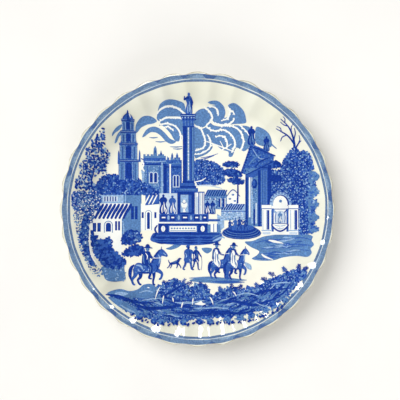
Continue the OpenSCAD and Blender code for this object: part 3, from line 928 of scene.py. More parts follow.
def villa():
    """White-walled houses with striped tile roofs, on the left of the square."""
    art = Drawing("villa_print", 1)
    art.box("pale", -95, 5.4, -70, 14.6)
    art.box("mid", -70, 5.4, -54.8, 14.6)
    art.poly("white", [(-96.4, 5.6), (-66, 5.6), (-74, -10), (-104, -10.4)])
    art.box("white", -106, -46, -74, -10.2)
    art.poly("mid", [(-74, -10), (-66, 5.6), (-55.4, 5.4), (-55.4, -22), (-64, -33), (-74, -35)])
    art.box("white", -55, -21, -37, 4.4)
    art.poly("blue", [(-51, 14.6), (-37, 14.6), (-37, 5), (-51, 3.6)])
    art.over()
    art.box("dark", -96, 14, -54.4, 15)
    art.box("faint", -92, 7.4, -78, 12.4)
    art.box("mid", -72.2, 5.4, -71, 14)
    art.stroke("pale", [(-73, -12, 0.6), (-72, -20, 1), (-72.6, -27, 0.5)])
    for step in range(8):
        x = -95.2 + step * 3.9
        art.stroke("dark", [(x + 3, 4.6, 2.2), (x + 1, 0.8, 2.9), (x - 1.9, -3.6, 2.7), (x - 4.6, -9, 2.2)])
    for x0, x1, low, high in ((-101.9, -98.7, -22, -13.4), (-97.6, -94.4, -22, -13.4),
            (-80.6, -78.6, -20.8, -11.8), (-77.7, -75.7, -20.8, -11.8), (-65, -62.2, -10, 2.8),
            (-61.2, -58.6, -10, 2.8), (-54.6, -52.6, -8.8, -3), (-42.2, -40.2, -8.8, -3)):
        art.box("dark", x0, low, x1, high)
    for x0, x1, low, high in ((-91.4, -82.8, -23, -11.4), (-51.4, -44.6, -20.6, -1)):
        art.arch("mid", x0, x1, low, high)
    for x in (-48, -44.2, -40.6):
        art.stroke("white", [(x - 3.6, 4.8, 0.8), (x - 1.4, 9, 1.3), (x + 1, 13.6, 0.9)])
    art.over()
    for x in (-91, -88.4, -85.8, -83.2, -80.6):
        art.box("dark", x, 7.6, x + 1.1, 12.2)
    for x0, x1, low, high in ((-90.6, -83.6, -23, -12.2), (-50.8, -45.2, -20.6, -1.6)):
        art.arch("white", x0, x1, low, high)
    for x in (-100.3, -96):
        art.box("blue", x - 0.25, -20, x + 0.25, -14.4)
    art.over()
    for x0, x1, low, high in ((-89.6, -84.6, -22, -13.2), (-49.4, -46.6, -19.4, -3)):
        art.arch("dark", x0, x1, low, high)
    art.lay()


def left_tree():
    """Clusters of leaves that hang in from the left."""
    art = Drawing("left_tree_print", 4)
    masses = [
        [(-89.6, 77), (-88.6, 67), (-92, 61), (-99, 61), (-101.6, 65), (-96, 71)],
        [(-101, 63), (-94, 60), (-88, 57), (-86.4, 50), (-87.6, 44), (-93, 41), (-101, 44), (-107, 51),
         (-106, 59)],
        [(-106, 50), (-98, 48), (-89, 46), (-88, 38), (-96, 34), (-106, 32), (-113, 36), (-112, 44)],
        [(-115, 32), (-108, 34), (-102, 30), (-103, 22), (-110, 20), (-117, 22)],
        [(-108, 26), (-101.6, 25), (-99.6, 19), (-104, 15.6), (-109, 19)],
    ]
    for seed, mass in enumerate(masses):
        art.scatter(("mid", "pale", "blue"), spline(mass, closed=True), 3.1, 2.8, 20 + seed, 1.5)
    art.over()
    for seed, mass in enumerate(masses):
        art.scatter(("dark", "blue", "dark", "blue"), spline(mass, closed=True), 2.5, 2.4, seed, 1.8)
    art.over()
    art.strokes("dark", [(-101, 17, 1.5), (-103, 26, 1.2), (-101, 34, 1.1), (-100, 42, 0.9), (-96, 50, 0.7)],
            [(-102, 30, 1), (-107, 36, 0.8), (-108, 42, 0.5)],
            [(-100, 41, 0.8), (-93, 45, 0.7), (-88, 50, 0.4)])
    art.foliage([(-120, 15.6), (-113, 17.6), (-106, 16), (-99, 18.6), (-95, 14), (-94.4, 6), (-97, 0),
            (-101, -1.4), (-101, -9), (-103.6, -13), (-105, -6), (-111, -2), (-119.6, 1), (-120.4, 8)], 7,
            ("dark", "pale", "blue", "dark", "mid", "pale"), base="blue", spacing=1.7,
            specks=("pale", "white", "faint"))
    art.lay()


def left_bush():
    """Shrubs in front of the villa, and speckled leaves down the plate's left edge."""
    art = Drawing("left_bush_print", 3)
    # leaves down the plate's edge, dense beside the path and thinning out towards the rim
    art.scatter(("dark", "blue", "mid", "pale"), spline([(-118.6, 8), (-108, 4), (-105, -6), (-105, -22),
            (-104.6, -38), (-101, -51), (-94, -58), (-92, -64), (-99, -63), (-106, -54), (-111.6, -42),
            (-116, -26), (-118.4, -12)], closed=True), 2, 1.7, 31, 1.8)
    art.foliage([(-108, -2), (-105.4, -10), (-105.6, -24), (-105, -38), (-102, -48), (-98, -54), (-103, -53),
                 (-108, -45), (-111, -35), (-113.6, -24), (-112, -18), (-110.4, -8)],
                32, ("dark", "dark", "blue", "dark", "mid", "pale", "white"), base="blue", spacing=1.6)
    pool = [(-92.8, -56), (-91.4, -62), (-88.6, -68), (-82, -70.2), (-75, -70), (-70.4, -68.6),
            (-70.6, -64), (-71.6, -58), (-72.4, -53), (-80, -52)]
    art.smooth("mid", pool)
    art.scatter(("pale", "mid", "pale"), spline(pool, closed=True), 3, 1.8, 38, 2.6)
    art.over()
    art.foliage([(-102.4, -22), (-99, -30), (-95, -29), (-90, -30), (-86.4, -27), (-84, -31), (-82.6, -39),
            (-76, -45), (-70.4, -50), (-71.6, -55), (-80, -58), (-89, -56), (-95, -50), (-100.4, -42),
            (-103, -30)], 33, ("dark", "dark", "dark", "blue", "blue", "mid"), base="blue", spacing=2)
    art.foliage([(-74, -34), (-73, -26), (-68, -21), (-60, -21), (-55.4, -24.4), (-54, -28.6), (-58, -32.6),
            (-66, -34.6)], 35, ("dark", "dark", "blue", "dark", "mid", "pale"), base="dark", spacing=1.8)
    art.foliage([(-74, -45), (-68, -38), (-61, -34.6), (-54, -36.6), (-52, -42), (-56, -45), (-66, -46)],
                37, ("dark", "dark", "blue", "blue"), base="dark", spacing=2)
    art.over()
    art.stroke("white", [(-104.6, -20, 0.8), (-104.4, -32, 1.3), (-102.6, -44, 1.2), (-98, -52, 1.2),
            (-93.6, -57, 0.6)])
    art.stroke("dark", [(-63, -33, 1), (-63.4, -28, 0.8), (-61, -24, 0.5)])
    art.lay()


def hill_tree():
    """Trees on the hill behind the monument."""
    art = Drawing("hill_tree_print", 1)
    art.foliage([(-3, 46), (4, 48), (12, 47), (19, 44), (25, 39), (27, 32), (24, 25), (12, 24), (0, 24),
            (-3, 34)], 41, ("dark", "blue", "dark", "blue", "dark", "mid"), base="blue", spacing=1.9,
            specks=("mid", "pale", "mid"))
    art.over()
    art.stroke("white", [(-2.6, 26.6, 0.8), (4, 28, 1), (8, 30.6, 0.5)])
    art.stroke("faint", [(-2, 22.6, 1), (12, 23, 1.6), (24, 20, 0.6)])
    art.lay()


def pine():
    """A tall pine with flat canopies."""
    art = Drawing("pine_print", 3)
    canopies = [
        [(24, 43.6), (31, 47), (40, 44.6), (38, 41), (29, 41)],
        [(24, 36), (31, 39.6), (39, 38), (44, 33), (38, 31), (28, 33)],
        [(29, 28.6), (36, 31), (43, 29), (46, 25.4), (40, 24), (32, 26)],
    ]
    for seed, canopy in enumerate(canopies):
        art.foliage(canopy, 51 + seed, ("dark", "dark", "blue", "mid"), base="dark", spacing=1.9, ragged=1)
    art.over()
    art.strokes("dark", [(36, 40, 0.8), (38.6, 32, 1.1), (39.4, 20, 1.4), (39, 6, 1.8)],
            [(38.6, 26, 0.8), (42, 29.4, 0.6), (43, 30, 0.4)])
    art.lay()


def cottage():
    """Small houses with hatched roofs, between the monument and the portico."""
    art = Drawing("cottage_print", 2)
    art.poly("mid", [(7, 12.4), (29, 12.4), (27, 19), (10, 19)])
    art.box("mid", 7, 0, 29, 12.4)
    art.poly("white", [(28.6, 2), (41, 2), (41, 12), (34.6, 18.6), (28.6, 12)])
    art.poly("pale", [(23, -1), (47, -1), (47, 5), (29, 5)])
    art.box("pale", 23, -11, 47, -1)
    art.poly("pale", [(19, -4.6), (26, -9), (26, -18), (19.8, -23)])
    art.over()
    art.scatter(("blue", "pale", "blue"), rectangle(7.4, 0.6, 28.4, 12), 1.9, 1.3, 331, 1.6)
    art.scatter(("mid", "faint", "mid"), rectangle(23.4, -10.6, 46, -2.8), 2, 1.3, 332, 1.6)
    art.over()
    for step in range(9):
        x = 8.4 + step * 2.3
        art.strokes("dark", [(x - 1, 12.8, 1.2), (x + 1.8, 18.4, 1.2)],
                [(x + 15.2, -0.6, 1.3), (x + 18.6, 4.6, 1.3)])
    for x in (10, 15, 20.6, 24.6):
        art.box("dark", x, 2, x + 1.9, 10)
        art.box("white", x + 1.9, 2, x + 2.6, 10.6)
    for x, y in ((31.6, 10), (36.4, 8), (33, 5), (38.2, 4.6), (34.6, 14)):
        art.oval("mid", x, y, 1.3, 0.9)
        art.box("blue", x - 0.5, y - 0.8, x + 0.7, y)
    art.stroke("blue", [(28.4, 12.4, 0.7), (34.6, 19, 0.9), (41.4, 12.4, 0.7)])
    art.boxes("blue", (23, -2.6, 47, -1.8), (8, -12, 22, -9.8))
    art.lay()


def portico():
    """A tall classical gatehouse with roof statues, on the right of the square."""
    art = Drawing("portico_print", 3)
    statue(art, 52.6, 63, 18, "dark", "mid")
    statue(art, 67.2, 56.6, 14.5, "dark", "mid")
    art.poly("blue", [(52, 64), (42, 35.6), (46, 34), (50, 34), (74, 46), (74.6, 52), (66, 58)])
    art.box("mid", 46.6, -17, 69, 40)
    art.poly("blue", [(46.6, 33), (74, 47), (74, 40), (46.6, 27)])
    art.over()
    art.scatter(("dark", "mid", "blue", "dark"), np.array([(51.6, 62), (44, 36.6), (50, 35), (73, 46),
            (73.4, 51.4), (65, 57)]), 1.9, 1.4, 321, 2)
    art.over()
    for step in range(11):
        y = 35.6 + step * 2.5
        art.oval("dark", 43.2 + step * 0.86, y, 1.2, 1)
    art.strokes("dark", [(47, 33.4, 1), (60, 39.6, 1.2), (74, 46.4, 1)],
            [(53, 61, 1), (62, 57.6, 1.4), (75.6, 52, 1.2)])
    art.stroke("pale", [(54, 58.6, 0.6), (60, 50, 1), (66, 49, 0.6)])
    art.stroke("mid", [(50, 43, 0.8), (56, 50, 1.4), (62, 53, 1)])
    art.stroke("dark", [(56, 41, 0.8), (62, 47, 1.6), (70, 50, 0.8)])
    art.boxes("dark", (46.8, -17, 49.2, 31), (59, -17, 61.4, 38))
    art.box("blue", 61.4, -17, 68.6, 41)
    art.box("dark", 68.6, -17, 72, 43)
    art.box("white", 50.2, -8, 51.6, 31)
    art.box("faint", 52.6, 2, 53.4, 31)
    art.box("dark", 72, 27, 82, 33)
    art.scatter(("blue", "pale", "mid"), rectangle(52.4, -15, 58, 26), 1.9, 1.2, 322, 2)
    art.over()
    art.oval("dark", 55.6, 24.6, 2.8, 4.8)
    for x in (62.6, 64.8, 67):
        art.box("mid", x - 0.4, -15, x + 0.4, 38)
    art.box("pale", 52.4, -14, 54, 14)
    art.box("dark", 54.6, -16, 56.2, 0)
    art.box("faint", 56.6, -14, 58, 6)
    for y in (-13.6, 40):
        art.box("dark", 61, y, 69, y + 1)
    art.over()
    art.oval("blue", 55, 25.4, 1.5, 3)
    art.lay()


def steps():
    """Round steps in front of the portico, with people standing on them."""
    art = Drawing("steps_print", 4)
    for tier in range(3):
        half, drop, depth = 19.4 - tier * 2, -23.4 + tier * 1.4, 6.2 - tier * 0.7
        art.oval("dark", 43, drop, half, depth)
        art.over()
        art.oval("mid", 43, drop + 0.55, half - 0.5, depth - 0.35)
        art.over()
        art.oval("dark", 43, drop + 0.95, half - 0.8, depth - 0.45)
        art.over()
    art.oval("dark", 43, -19.1, 14, 4)
    art.over()
    art.oval("blue", 43, -18.3, 12.6, 3)
    art.over()
    for x, height, facing, tone in ((31.6, 10, 1, "dark"), (37, 11.6, -1, "blue"), (41, 12.6, 1, "dark"),
            (47, 11.4, -1, "dark")):
        person(art, x, -20.6, height / 28, facing, tone, "mid", "mid", 1.1)
    art.lay()


def person(art, x, y, scale, facing, coat, shade, light, girth=1.0, stick=False):
    """A walking person in a short coat, 28 units tall."""
    def put(tone, *lines):
        for points in lines:
            stout = [(u * girth, v, wide * girth) for u, v, wide in points]
            art.stroke(tone, turned(stout, x, y, scale, facing))
    put(coat, [(-1.8, 12, 3.2), (-3, 6, 2.1), (-5, 1.2, 1.4), (-3.2, 0.4, 1.1)],
            [(1.6, 12, 3.2), (2.8, 6, 2.1), (3.4, 1, 1.5), (5.6, 0.3, 1.1)])
    skirt = [(-4.2, 10.6), (-3.6, 15), (-4, 20.6), (-1.8, 23.6), (1.8, 23.6), (3.8, 21), (3.4, 15),
            (4.4, 10.4), (0, 9.6)]
    art.smooth(coat, turned([(u * girth, v) for u, v in skirt], x, y, scale, facing))
    put(coat, [(3, 22, 2.2), (6, 17.6, 1.9), (7.6, 15.4, 1.4)])
    art.oval(shade, x + 0.3 * scale * facing, y + 25.4 * scale, 1.6 * scale, 1.9 * scale)
    put(coat, [(-1.7, 25.8, 1), (-0.4, 27.6, 1.8), (1.6, 27.2, 1)])
    if stick:
        put(coat, [(7.6, 16, 0.7), (8.4, 8, 0.6), (7.4, 0, 0.6)])
    art.over()
    put(light, [(-2.6, 19, 0.5), (-1.6, 16, 1), (-2.4, 13.6, 0.4)],
            [(0.8, 12.4, 0.4), (2, 10.4, 0.9), (1.8, 8.6, 0.4)])
    put(shade, [(1.4, 22, 0.5), (1.8, 18, 1), (0.6, 14.6, 0.5)], [(-3, 9.6, 0.6), (-2.6, 4, 0.8)])


def horse(art, x, y, scale, facing, raised):
    """A standing horse, 31 units tall. raised lifts a foreleg."""
    tone, shade, light = "blue", "dark", "pale"

    def put(tone, *lines):
        art.strokes(tone, *(turned(points, x, y, scale, facing) for points in lines))
    put(shade, [(-5, 12, 5), (-5, 7, 2.8), (-7.4, 4.2, 1.9), (-6, 1, 1.7), (-4.4, 0.2, 1.4)],
            [(7, 12, 4), (7.4, 7, 2.2), (6.6, 3, 1.7), (7, 0.6, 1.6), (8.4, 0.1, 1.2)])
    art.smooth(tone, turned([(-11, 15), (-8, 19), (-1, 18.2), (6, 19.4), (10.6, 18), (11.8, 14),
            (8.6, 10.4), (1, 9.6), (-6, 10), (-10.6, 10.4)], x, y, scale, facing))
    art.smooth(tone, turned([(4.6, 18.6), (8.4, 25), (12, 29.6), (14.6, 31), (17, 29.6), (20, 26),
            (19.4, 24.2), (16.6, 24.8), (14.2, 24.6), (13.6, 20), (11.6, 14.6)], x, y, scale, facing))
    put(tone, [(-8.6, 13, 6.4), (-10, 8, 3.2), (-12.6, 4.6, 2), (-11.6, 1, 1.8), (-10, 0.2, 1.4)])
    if raised:
        put(tone, [(10, 13, 4.2), (14.6, 10, 2.4), (14, 6, 1.8), (12.4, 4.8, 1.6)])
    else:
        put(tone, [(10, 13, 4.2), (10.8, 7.6, 2.4), (10.4, 3, 1.8), (10.8, 0.6, 1.7), (12.4, 0.1, 1.3)])
    put(shade, [(-11, 17, 1.4), (-13.8, 14, 3), (-14.6, 8.6, 2.8), (-13.2, 3.6, 0.8)],
            [(14, 30.6, 0.8), (14.6, 33, 0.4)])
    art.over()
    flank = turned([(-10, 11), (-9, 17.4), (-1, 17), (6, 18), (10, 16.6), (11, 14), (8, 11.4), (-6, 10.6)],
            x, y, scale, facing)
    art.scatter((shade, light, tone, "mid"), flank, 2.1, 1.4, 400 + abs(int(x)), 1.8)
    art.over()
    put(shade, [(5.4, 19, 1.2), (8.4, 25, 1.8), (12.6, 30, 1.2)],
            [(-8, 11.4, 0.7), (-1, 10.4, 1.5), (6, 11, 0.7)],
            [(9.4, 17.6, 0.7), (11, 14.6, 1.2), (9.6, 12, 0.6)])
    put(light, [(-8.8, 17, 0.8), (-5, 16.4, 1.8), (-3, 13.6, 0.8)],
            [(11.6, 26, 0.6), (13, 22.4, 1.3), (12, 18.4, 0.6)], [(16, 27.6, 0.5), (18.4, 25.8, 0.8)])


def rider(art, x, y, scale, facing, cape=False):
    """The upper body and near leg of someone on horseback, for a horse at the same place."""
    coat, light = "dark", "white"

    def put(tone, *lines):
        art.strokes(tone, *(turned(points, x, y, scale, facing) for points in lines))
    put(coat, [(0.6, 19.6, 4.4), (4.6, 16.6, 3.4), (4, 10, 2.4), (3, 6.4, 2), (5.2, 5.6, 1.4)])
    art.smooth(coat, turned([(-3, 18.6), (-3.6, 24), (-2.6, 29), (0, 31), (3.4, 30.6), (4.6, 27.6),
            (3.6, 22.6), (4.2, 18.8)], x, y, scale, facing))
    put(coat, [(2.6, 29, 2.4), (5.6, 25, 2), (9.6, 23.6, 1.4)])
    art.oval("mid", x + 1.6 * scale * facing, y + 33 * scale, 1.7 * scale, 2 * scale)
    put(coat, [(-2.6, 34, 0.7), (1.6, 34.6, 1.6), (6, 33.8, 0.7)],
            [(0, 35.2, 1.2), (1.6, 36.4, 2.6), (3.4, 35.2, 1.2)])
    art.over()
    if cape:
        art.smooth(light, turned([(-1.4, 15.4), (-1.8, 22), (-0.8, 27), (1.2, 29.4), (2.8, 27), (3.8, 22),
                (5.8, 16), (4.6, 11), (1.6, 12.6)], x, y, scale, facing))
        put("blue", [(0, 26.6, 0.4), (0.2, 21, 0.8), (-0.2, 16, 0.4)],
                [(1.6, 25, 0.4), (2.6, 20, 0.9), (3.4, 14.4, 0.4)])
    put("mid", [(-2, 27.6, 0.7), (-2.2, 23, 1.3), (-1.4, 19.6, 0.6)])
    put(light, [(-0.4, 29.4, 0.4), (1.4, 26.6, 0.9), (1, 23.4, 0.4)])
    put("mid", [(2.6, 24.6, 0.5), (2.8, 21.6, 1), (3.4, 19.6, 0.5)],
            [(2.2, 18.6, 0.5), (4.4, 15.4, 1), (3.8, 11.6, 0.5)])
    put(light, [(6.2, 26.2, 0.3), (8, 25, 0.6)], [(6, 24.6, 0.4), (12, 24.8, 0.5), (18, 25.4, 0.4)])


def lone_rider():
    """A person riding in from the left."""
    art = Drawing("lone_rider_print", 4)
    horse(art, -50.5, -74, 1.13, 0.94, True)
    rider(art, -50.5, -74, 1.06, 1)
    art.lay()


def rider_pair():
    """Two people riding side by side, over their shadow on the ground."""
    art = Drawing("rider_pair_print", 4)
    for x0, x1, y, width, tone in ((-8, 30, -67.4, 3, "mid"), (6, 48, -69, 4, "mid"), (4, 46, -71, 4, "mid"),
                                   (14, 44, -71, 2.6, "blue")):
        art.stroke(tone, [(x0, y, 0.5), ((x0 + x1) / 2, y, width), (x1, y - 0.4, 0.5)])
    art.stroke("pale", [(46, -52, 1), (50, -56, 5), (52.4, -59, 1)])
    art.over()
    horse(art, 22, -67.6, 0.98, 0.74, False)
    rider(art, 17.4, -67.2, 0.95, 0.9, cape=True)
    art.over()
    horse(art, 36.6, -68.6, 0.98, 0.72, True)
    rider(art, 34, -68.2, 0.95, 0.9, cape=True)
    art.lay()


def dog():
    """A dog trotting to the right."""
    art = Drawing("dog_print", 4)
    art.strokes("dark", [(-27, -53.4, 1.6), (-23, -52.6, 3), (-19.4, -51, 3), (-17.6, -48.6, 2),
            (-16, -48.6, 1)], [(-27, -53, 1.2), (-28.4, -50.6, 0.8), (-28, -49.6, 0.4)])
    for x, foot in ((-26.6, -29.6), (-25.4, -26.6), (-20, -20.6), (-19.2, -16.2)):
        art.stroke("dark", [(x, -53, 1.8), ((x + foot) / 2 + 0.6, -55.4, 1.1), (foot, -57.6, 0.9)])
    art.over()
    art.stroke("mid", [(-24.6, -52, 0.4), (-22, -51.6, 0.8), (-20, -50.8, 0.4)])
    art.lay()


def walkers():
    """Two people talking as they walk, one with a stick."""
    art = Drawing("walkers_print", 4)
    art.smooth("blue", [(-12.6, -52), (-12.8, -46), (-11.8, -41.4), (-8.6, -39.8), (-6.6, -42), (-6, -48),
            (-6.6, -52)])
    person(art, -9.2, -59.4, 0.86, 1, "blue", "dark", "pale", 1.15)
    art.over()
    person(art, -1.6, -59.4, 0.82, 1, "dark", "mid", "white", 0.85, stick=True)
    art.lay()


def right_tree():
    """A big round tree behind the niche, speckled with light, and ground cover at its foot."""
    art = Drawing("right_tree_print", 2)
    art.foliage([(72, 46), (77, 47.4), (81.4, 43.4), (78, 40), (73, 40.6)], 60, ("dark", "dark", "blue"),
            base="dark", spacing=1.8, ragged=1)
    art.foliage([(90, 57), (94.4, 60), (98, 56), (102, 56.4), (107, 54), (110, 47), (111.4, 40),
            (108, 31.5), (113.6, 25.6), (114, 15), (109.5, 8.3), (113.6, 2.6), (111.6, -6), (112.6, -14),
            (111, -22), (105, -24), (99, -24), (97, -14), (84, -10), (71, 6), (70, 18), (70, 30), (72, 38),
            (79, 38), (82.4, 42), (83.6, 47), (86.4, 52)], 61,
            ("dark", "dark", "dark", "blue", "dark", "mid", "pale"), base="blue", spacing=1.55,
            specks=("mid", "pale", "mid"))
    level = art.level
    for low, high in ((-23, -16), (-12, -4), (0, 9), (12, 22), (26, 36)):
        middle, art.level = (low + high) / 2, level
        art.foliage([(108, low), (113, low + 0.6), (117, middle), (113.4, high - 0.4), (108, high)],
                    63 + high, ("blue", "mid", "mid", "blue", "pale"), base="mid", spacing=1.9, ragged=1)
    art.lay()


def bare_branch():
    """Bare twigs above the right-hand tree."""
    art = Drawing("bare_branch_print", 3)
    twigs = [
        [(93.6, 56, 1.8), (93.4, 64, 1.4), (91, 72, 1), (87, 80, 0.7), (80, 87, 0.4)],
        [(93.4, 63, 1.1), (88, 70, 0.9), (81, 75, 0.7), (76, 78, 0.4)],
        [(94.4, 58, 1), (97, 63, 0.8), (99.6, 66, 0.4)],
        [(92.8, 67, 0.8), (94, 73, 0.6), (92.8, 78, 0.4)],
        [(87, 80, 0.7), (83, 81.4, 0.5), (80, 84, 0.3)],
        [(86, 71.6, 0.7), (82, 69.6, 0.6), (80.6, 66, 0.4)],
        [(90.6, 73, 0.6), (90, 78, 0.5), (91.6, 82, 0.3)],
        [(84, 83.6, 0.6), (84, 87, 0.5), (82, 89, 0.3)],
        [(81, 75, 0.6), (80, 78.4, 0.5), (76.6, 80, 0.3)],
        [(97, 63, 0.6), (98.4, 67, 0.5), (97.6, 71, 0.3)],
    ]
    for twig in twigs:
        art.stroke("dark", [(u, v, wide * 1.35 + 0.15) for u, v, wide in twig])
    art.lay()


def niche():
    """A white garden niche with a shell basin, between pairs of pilasters."""
    art = Drawing("niche_print", 6)
    art.box("white", 63, -25, 98, 2)
    art.oval("pale", 81, 5.4, 10.6, 11.4)
    art.over()
    art.oval("dark", 81.5, 4.8, 8.1, 9.2)
    art.over()
    art.oval("white", 80.8, 4.6, 7.2, 8.6)
    for x in (62.6, 88.6):
        art.box("white", x, 0.8, x + 9.6, 4)
        art.box("blue", x, 0, x + 9.6, 0.8)
    art.boxes("blue", (72.4, -22, 74.4, 3), (86.8, -22, 88.8, 3))
    art.over()
    for step in range(10):
        turn = math.pi * (step + 0.5) / 10
        art.oval("blue", 81 + 9.4 * math.cos(turn), 5.6 + 10.2 * math.sin(turn), 0.8)
    art.box("white", 72.4, 0.6, 88.4, 3)
    art.box("blue", 72.6, -0.4, 88.4, 0.4)
    art.oval("mid", 81, 7.8, 1.5)
    for x in (63.4, 90.4):
        art.box("dark", x + 4.5, -20, x + 6.7, -1)
        for line in (0.2, 3.7, 8.4):
            art.box("pale", x + line, -20, x + line + 0.6, -1)
    for x in (62.6, 88.6):
        art.box("pale", x, -21.4, x + 9.6, -20.4)
        art.box("faint", x + 1, -24.6, x + 8.6, -22.4)
    art.arch("faint", 75.4, 86, -14, -1.4)
    art.over()
    statue(art, 80.6, -13.4, 11, "mid", "white")
    art.strokes("blue", [(76.4, -13, 0.6), (75.8, -8, 0.8), (77, -3, 0.5)],
            [(85, -13, 0.6), (85.6, -8, 0.8), (84.4, -3, 0.5)])
    # shell basin
    art.smooth("dark", [(72.6, -14.4), (88.4, -14.4), (86.6, -19.4), (80.6, -22.4), (74.6, -19.4)])
    art.over()
    art.smooth("white", [(74, -14.8), (87, -14.8), (85.4, -18.4), (80.6, -20.8), (75.8, -18.4)])
    art.over()
    art.strokes("pale", [(75.4, -15.8, 0.5), (80.6, -16.6, 0.9), (85.8, -15.8, 0.5)],
            [(77, -18.2, 0.4), (80.6, -19.4, 0.8), (84.2, -18.2, 0.4)])
    art.lay()


def shade():
    """The ground's shadows, in long wavy bands."""
    art = Drawing("shade_print")
    art.smooth("mid", [(46, -32), (54, -31), (64, -27), (76, -25), (90, -23), (104, -24), (111, -26),
            (110, -30), (112, -34), (109, -38), (110, -42), (106, -46), (96, -45.4), (84, -47), (74, -50),
            (62, -50.4), (53, -48.6), (58, -45), (60, -41), (52, -37)])
    art.smooth("mid", [(-8, -70), (0, -67.6), (14, -68), (20, -70), (8, -72)])
    art.smooth("mid", [(-31, -38.6), (-27, -37), (-22, -34.4), (-16, -34.6), (-19, -37.4), (-24, -39.4),
            (-27.6, -39.8)])
    art.smooth("mid", [(4, -38.4), (9, -37.6), (14, -38.6), (13, -41.4), (9.6, -43.4), (6, -41.6)])
    art.over()
    waves = [
        [(54, -33.6, 0.5), (70, -30, 1.2), (86, -30, 0.9), (100, -27.6, 1.1), (110, -29.6, 0.6)],
        [(62, -38.6, 0.5), (72, -38.4, 1.1), (84, -36, 0.9), (96, -34, 1.2), (110, -35, 0.6)],
        [(62, -44, 0.5), (74, -42.4, 1), (86, -42.4, 1.2), (98, -39.4, 0.8), (108, -40, 0.5)],
        [(56, -47.6, 0.5), (66, -48.6, 1), (80, -46.4, 0.6)],
    ]
    art.strokes("blue", *waves)
    art.strata(np.array([(60, -32), (76, -27), (96, -26), (108, -30), (106, -42), (84, -45), (62, -49)]),
               ("pale", "mid", "blue", "pale"), 4.4, 91, middle=(60, 300))
    art.over()
    art.strokes("white", [(69.6, -30.4, 0.8), (75, -31.6, 2.4), (83.6, -33.4, 0.6)],
            [(62.6, -44, 1), (66, -46.6, 2), (73.6, -49.4, 0.6)])
    art.lay()


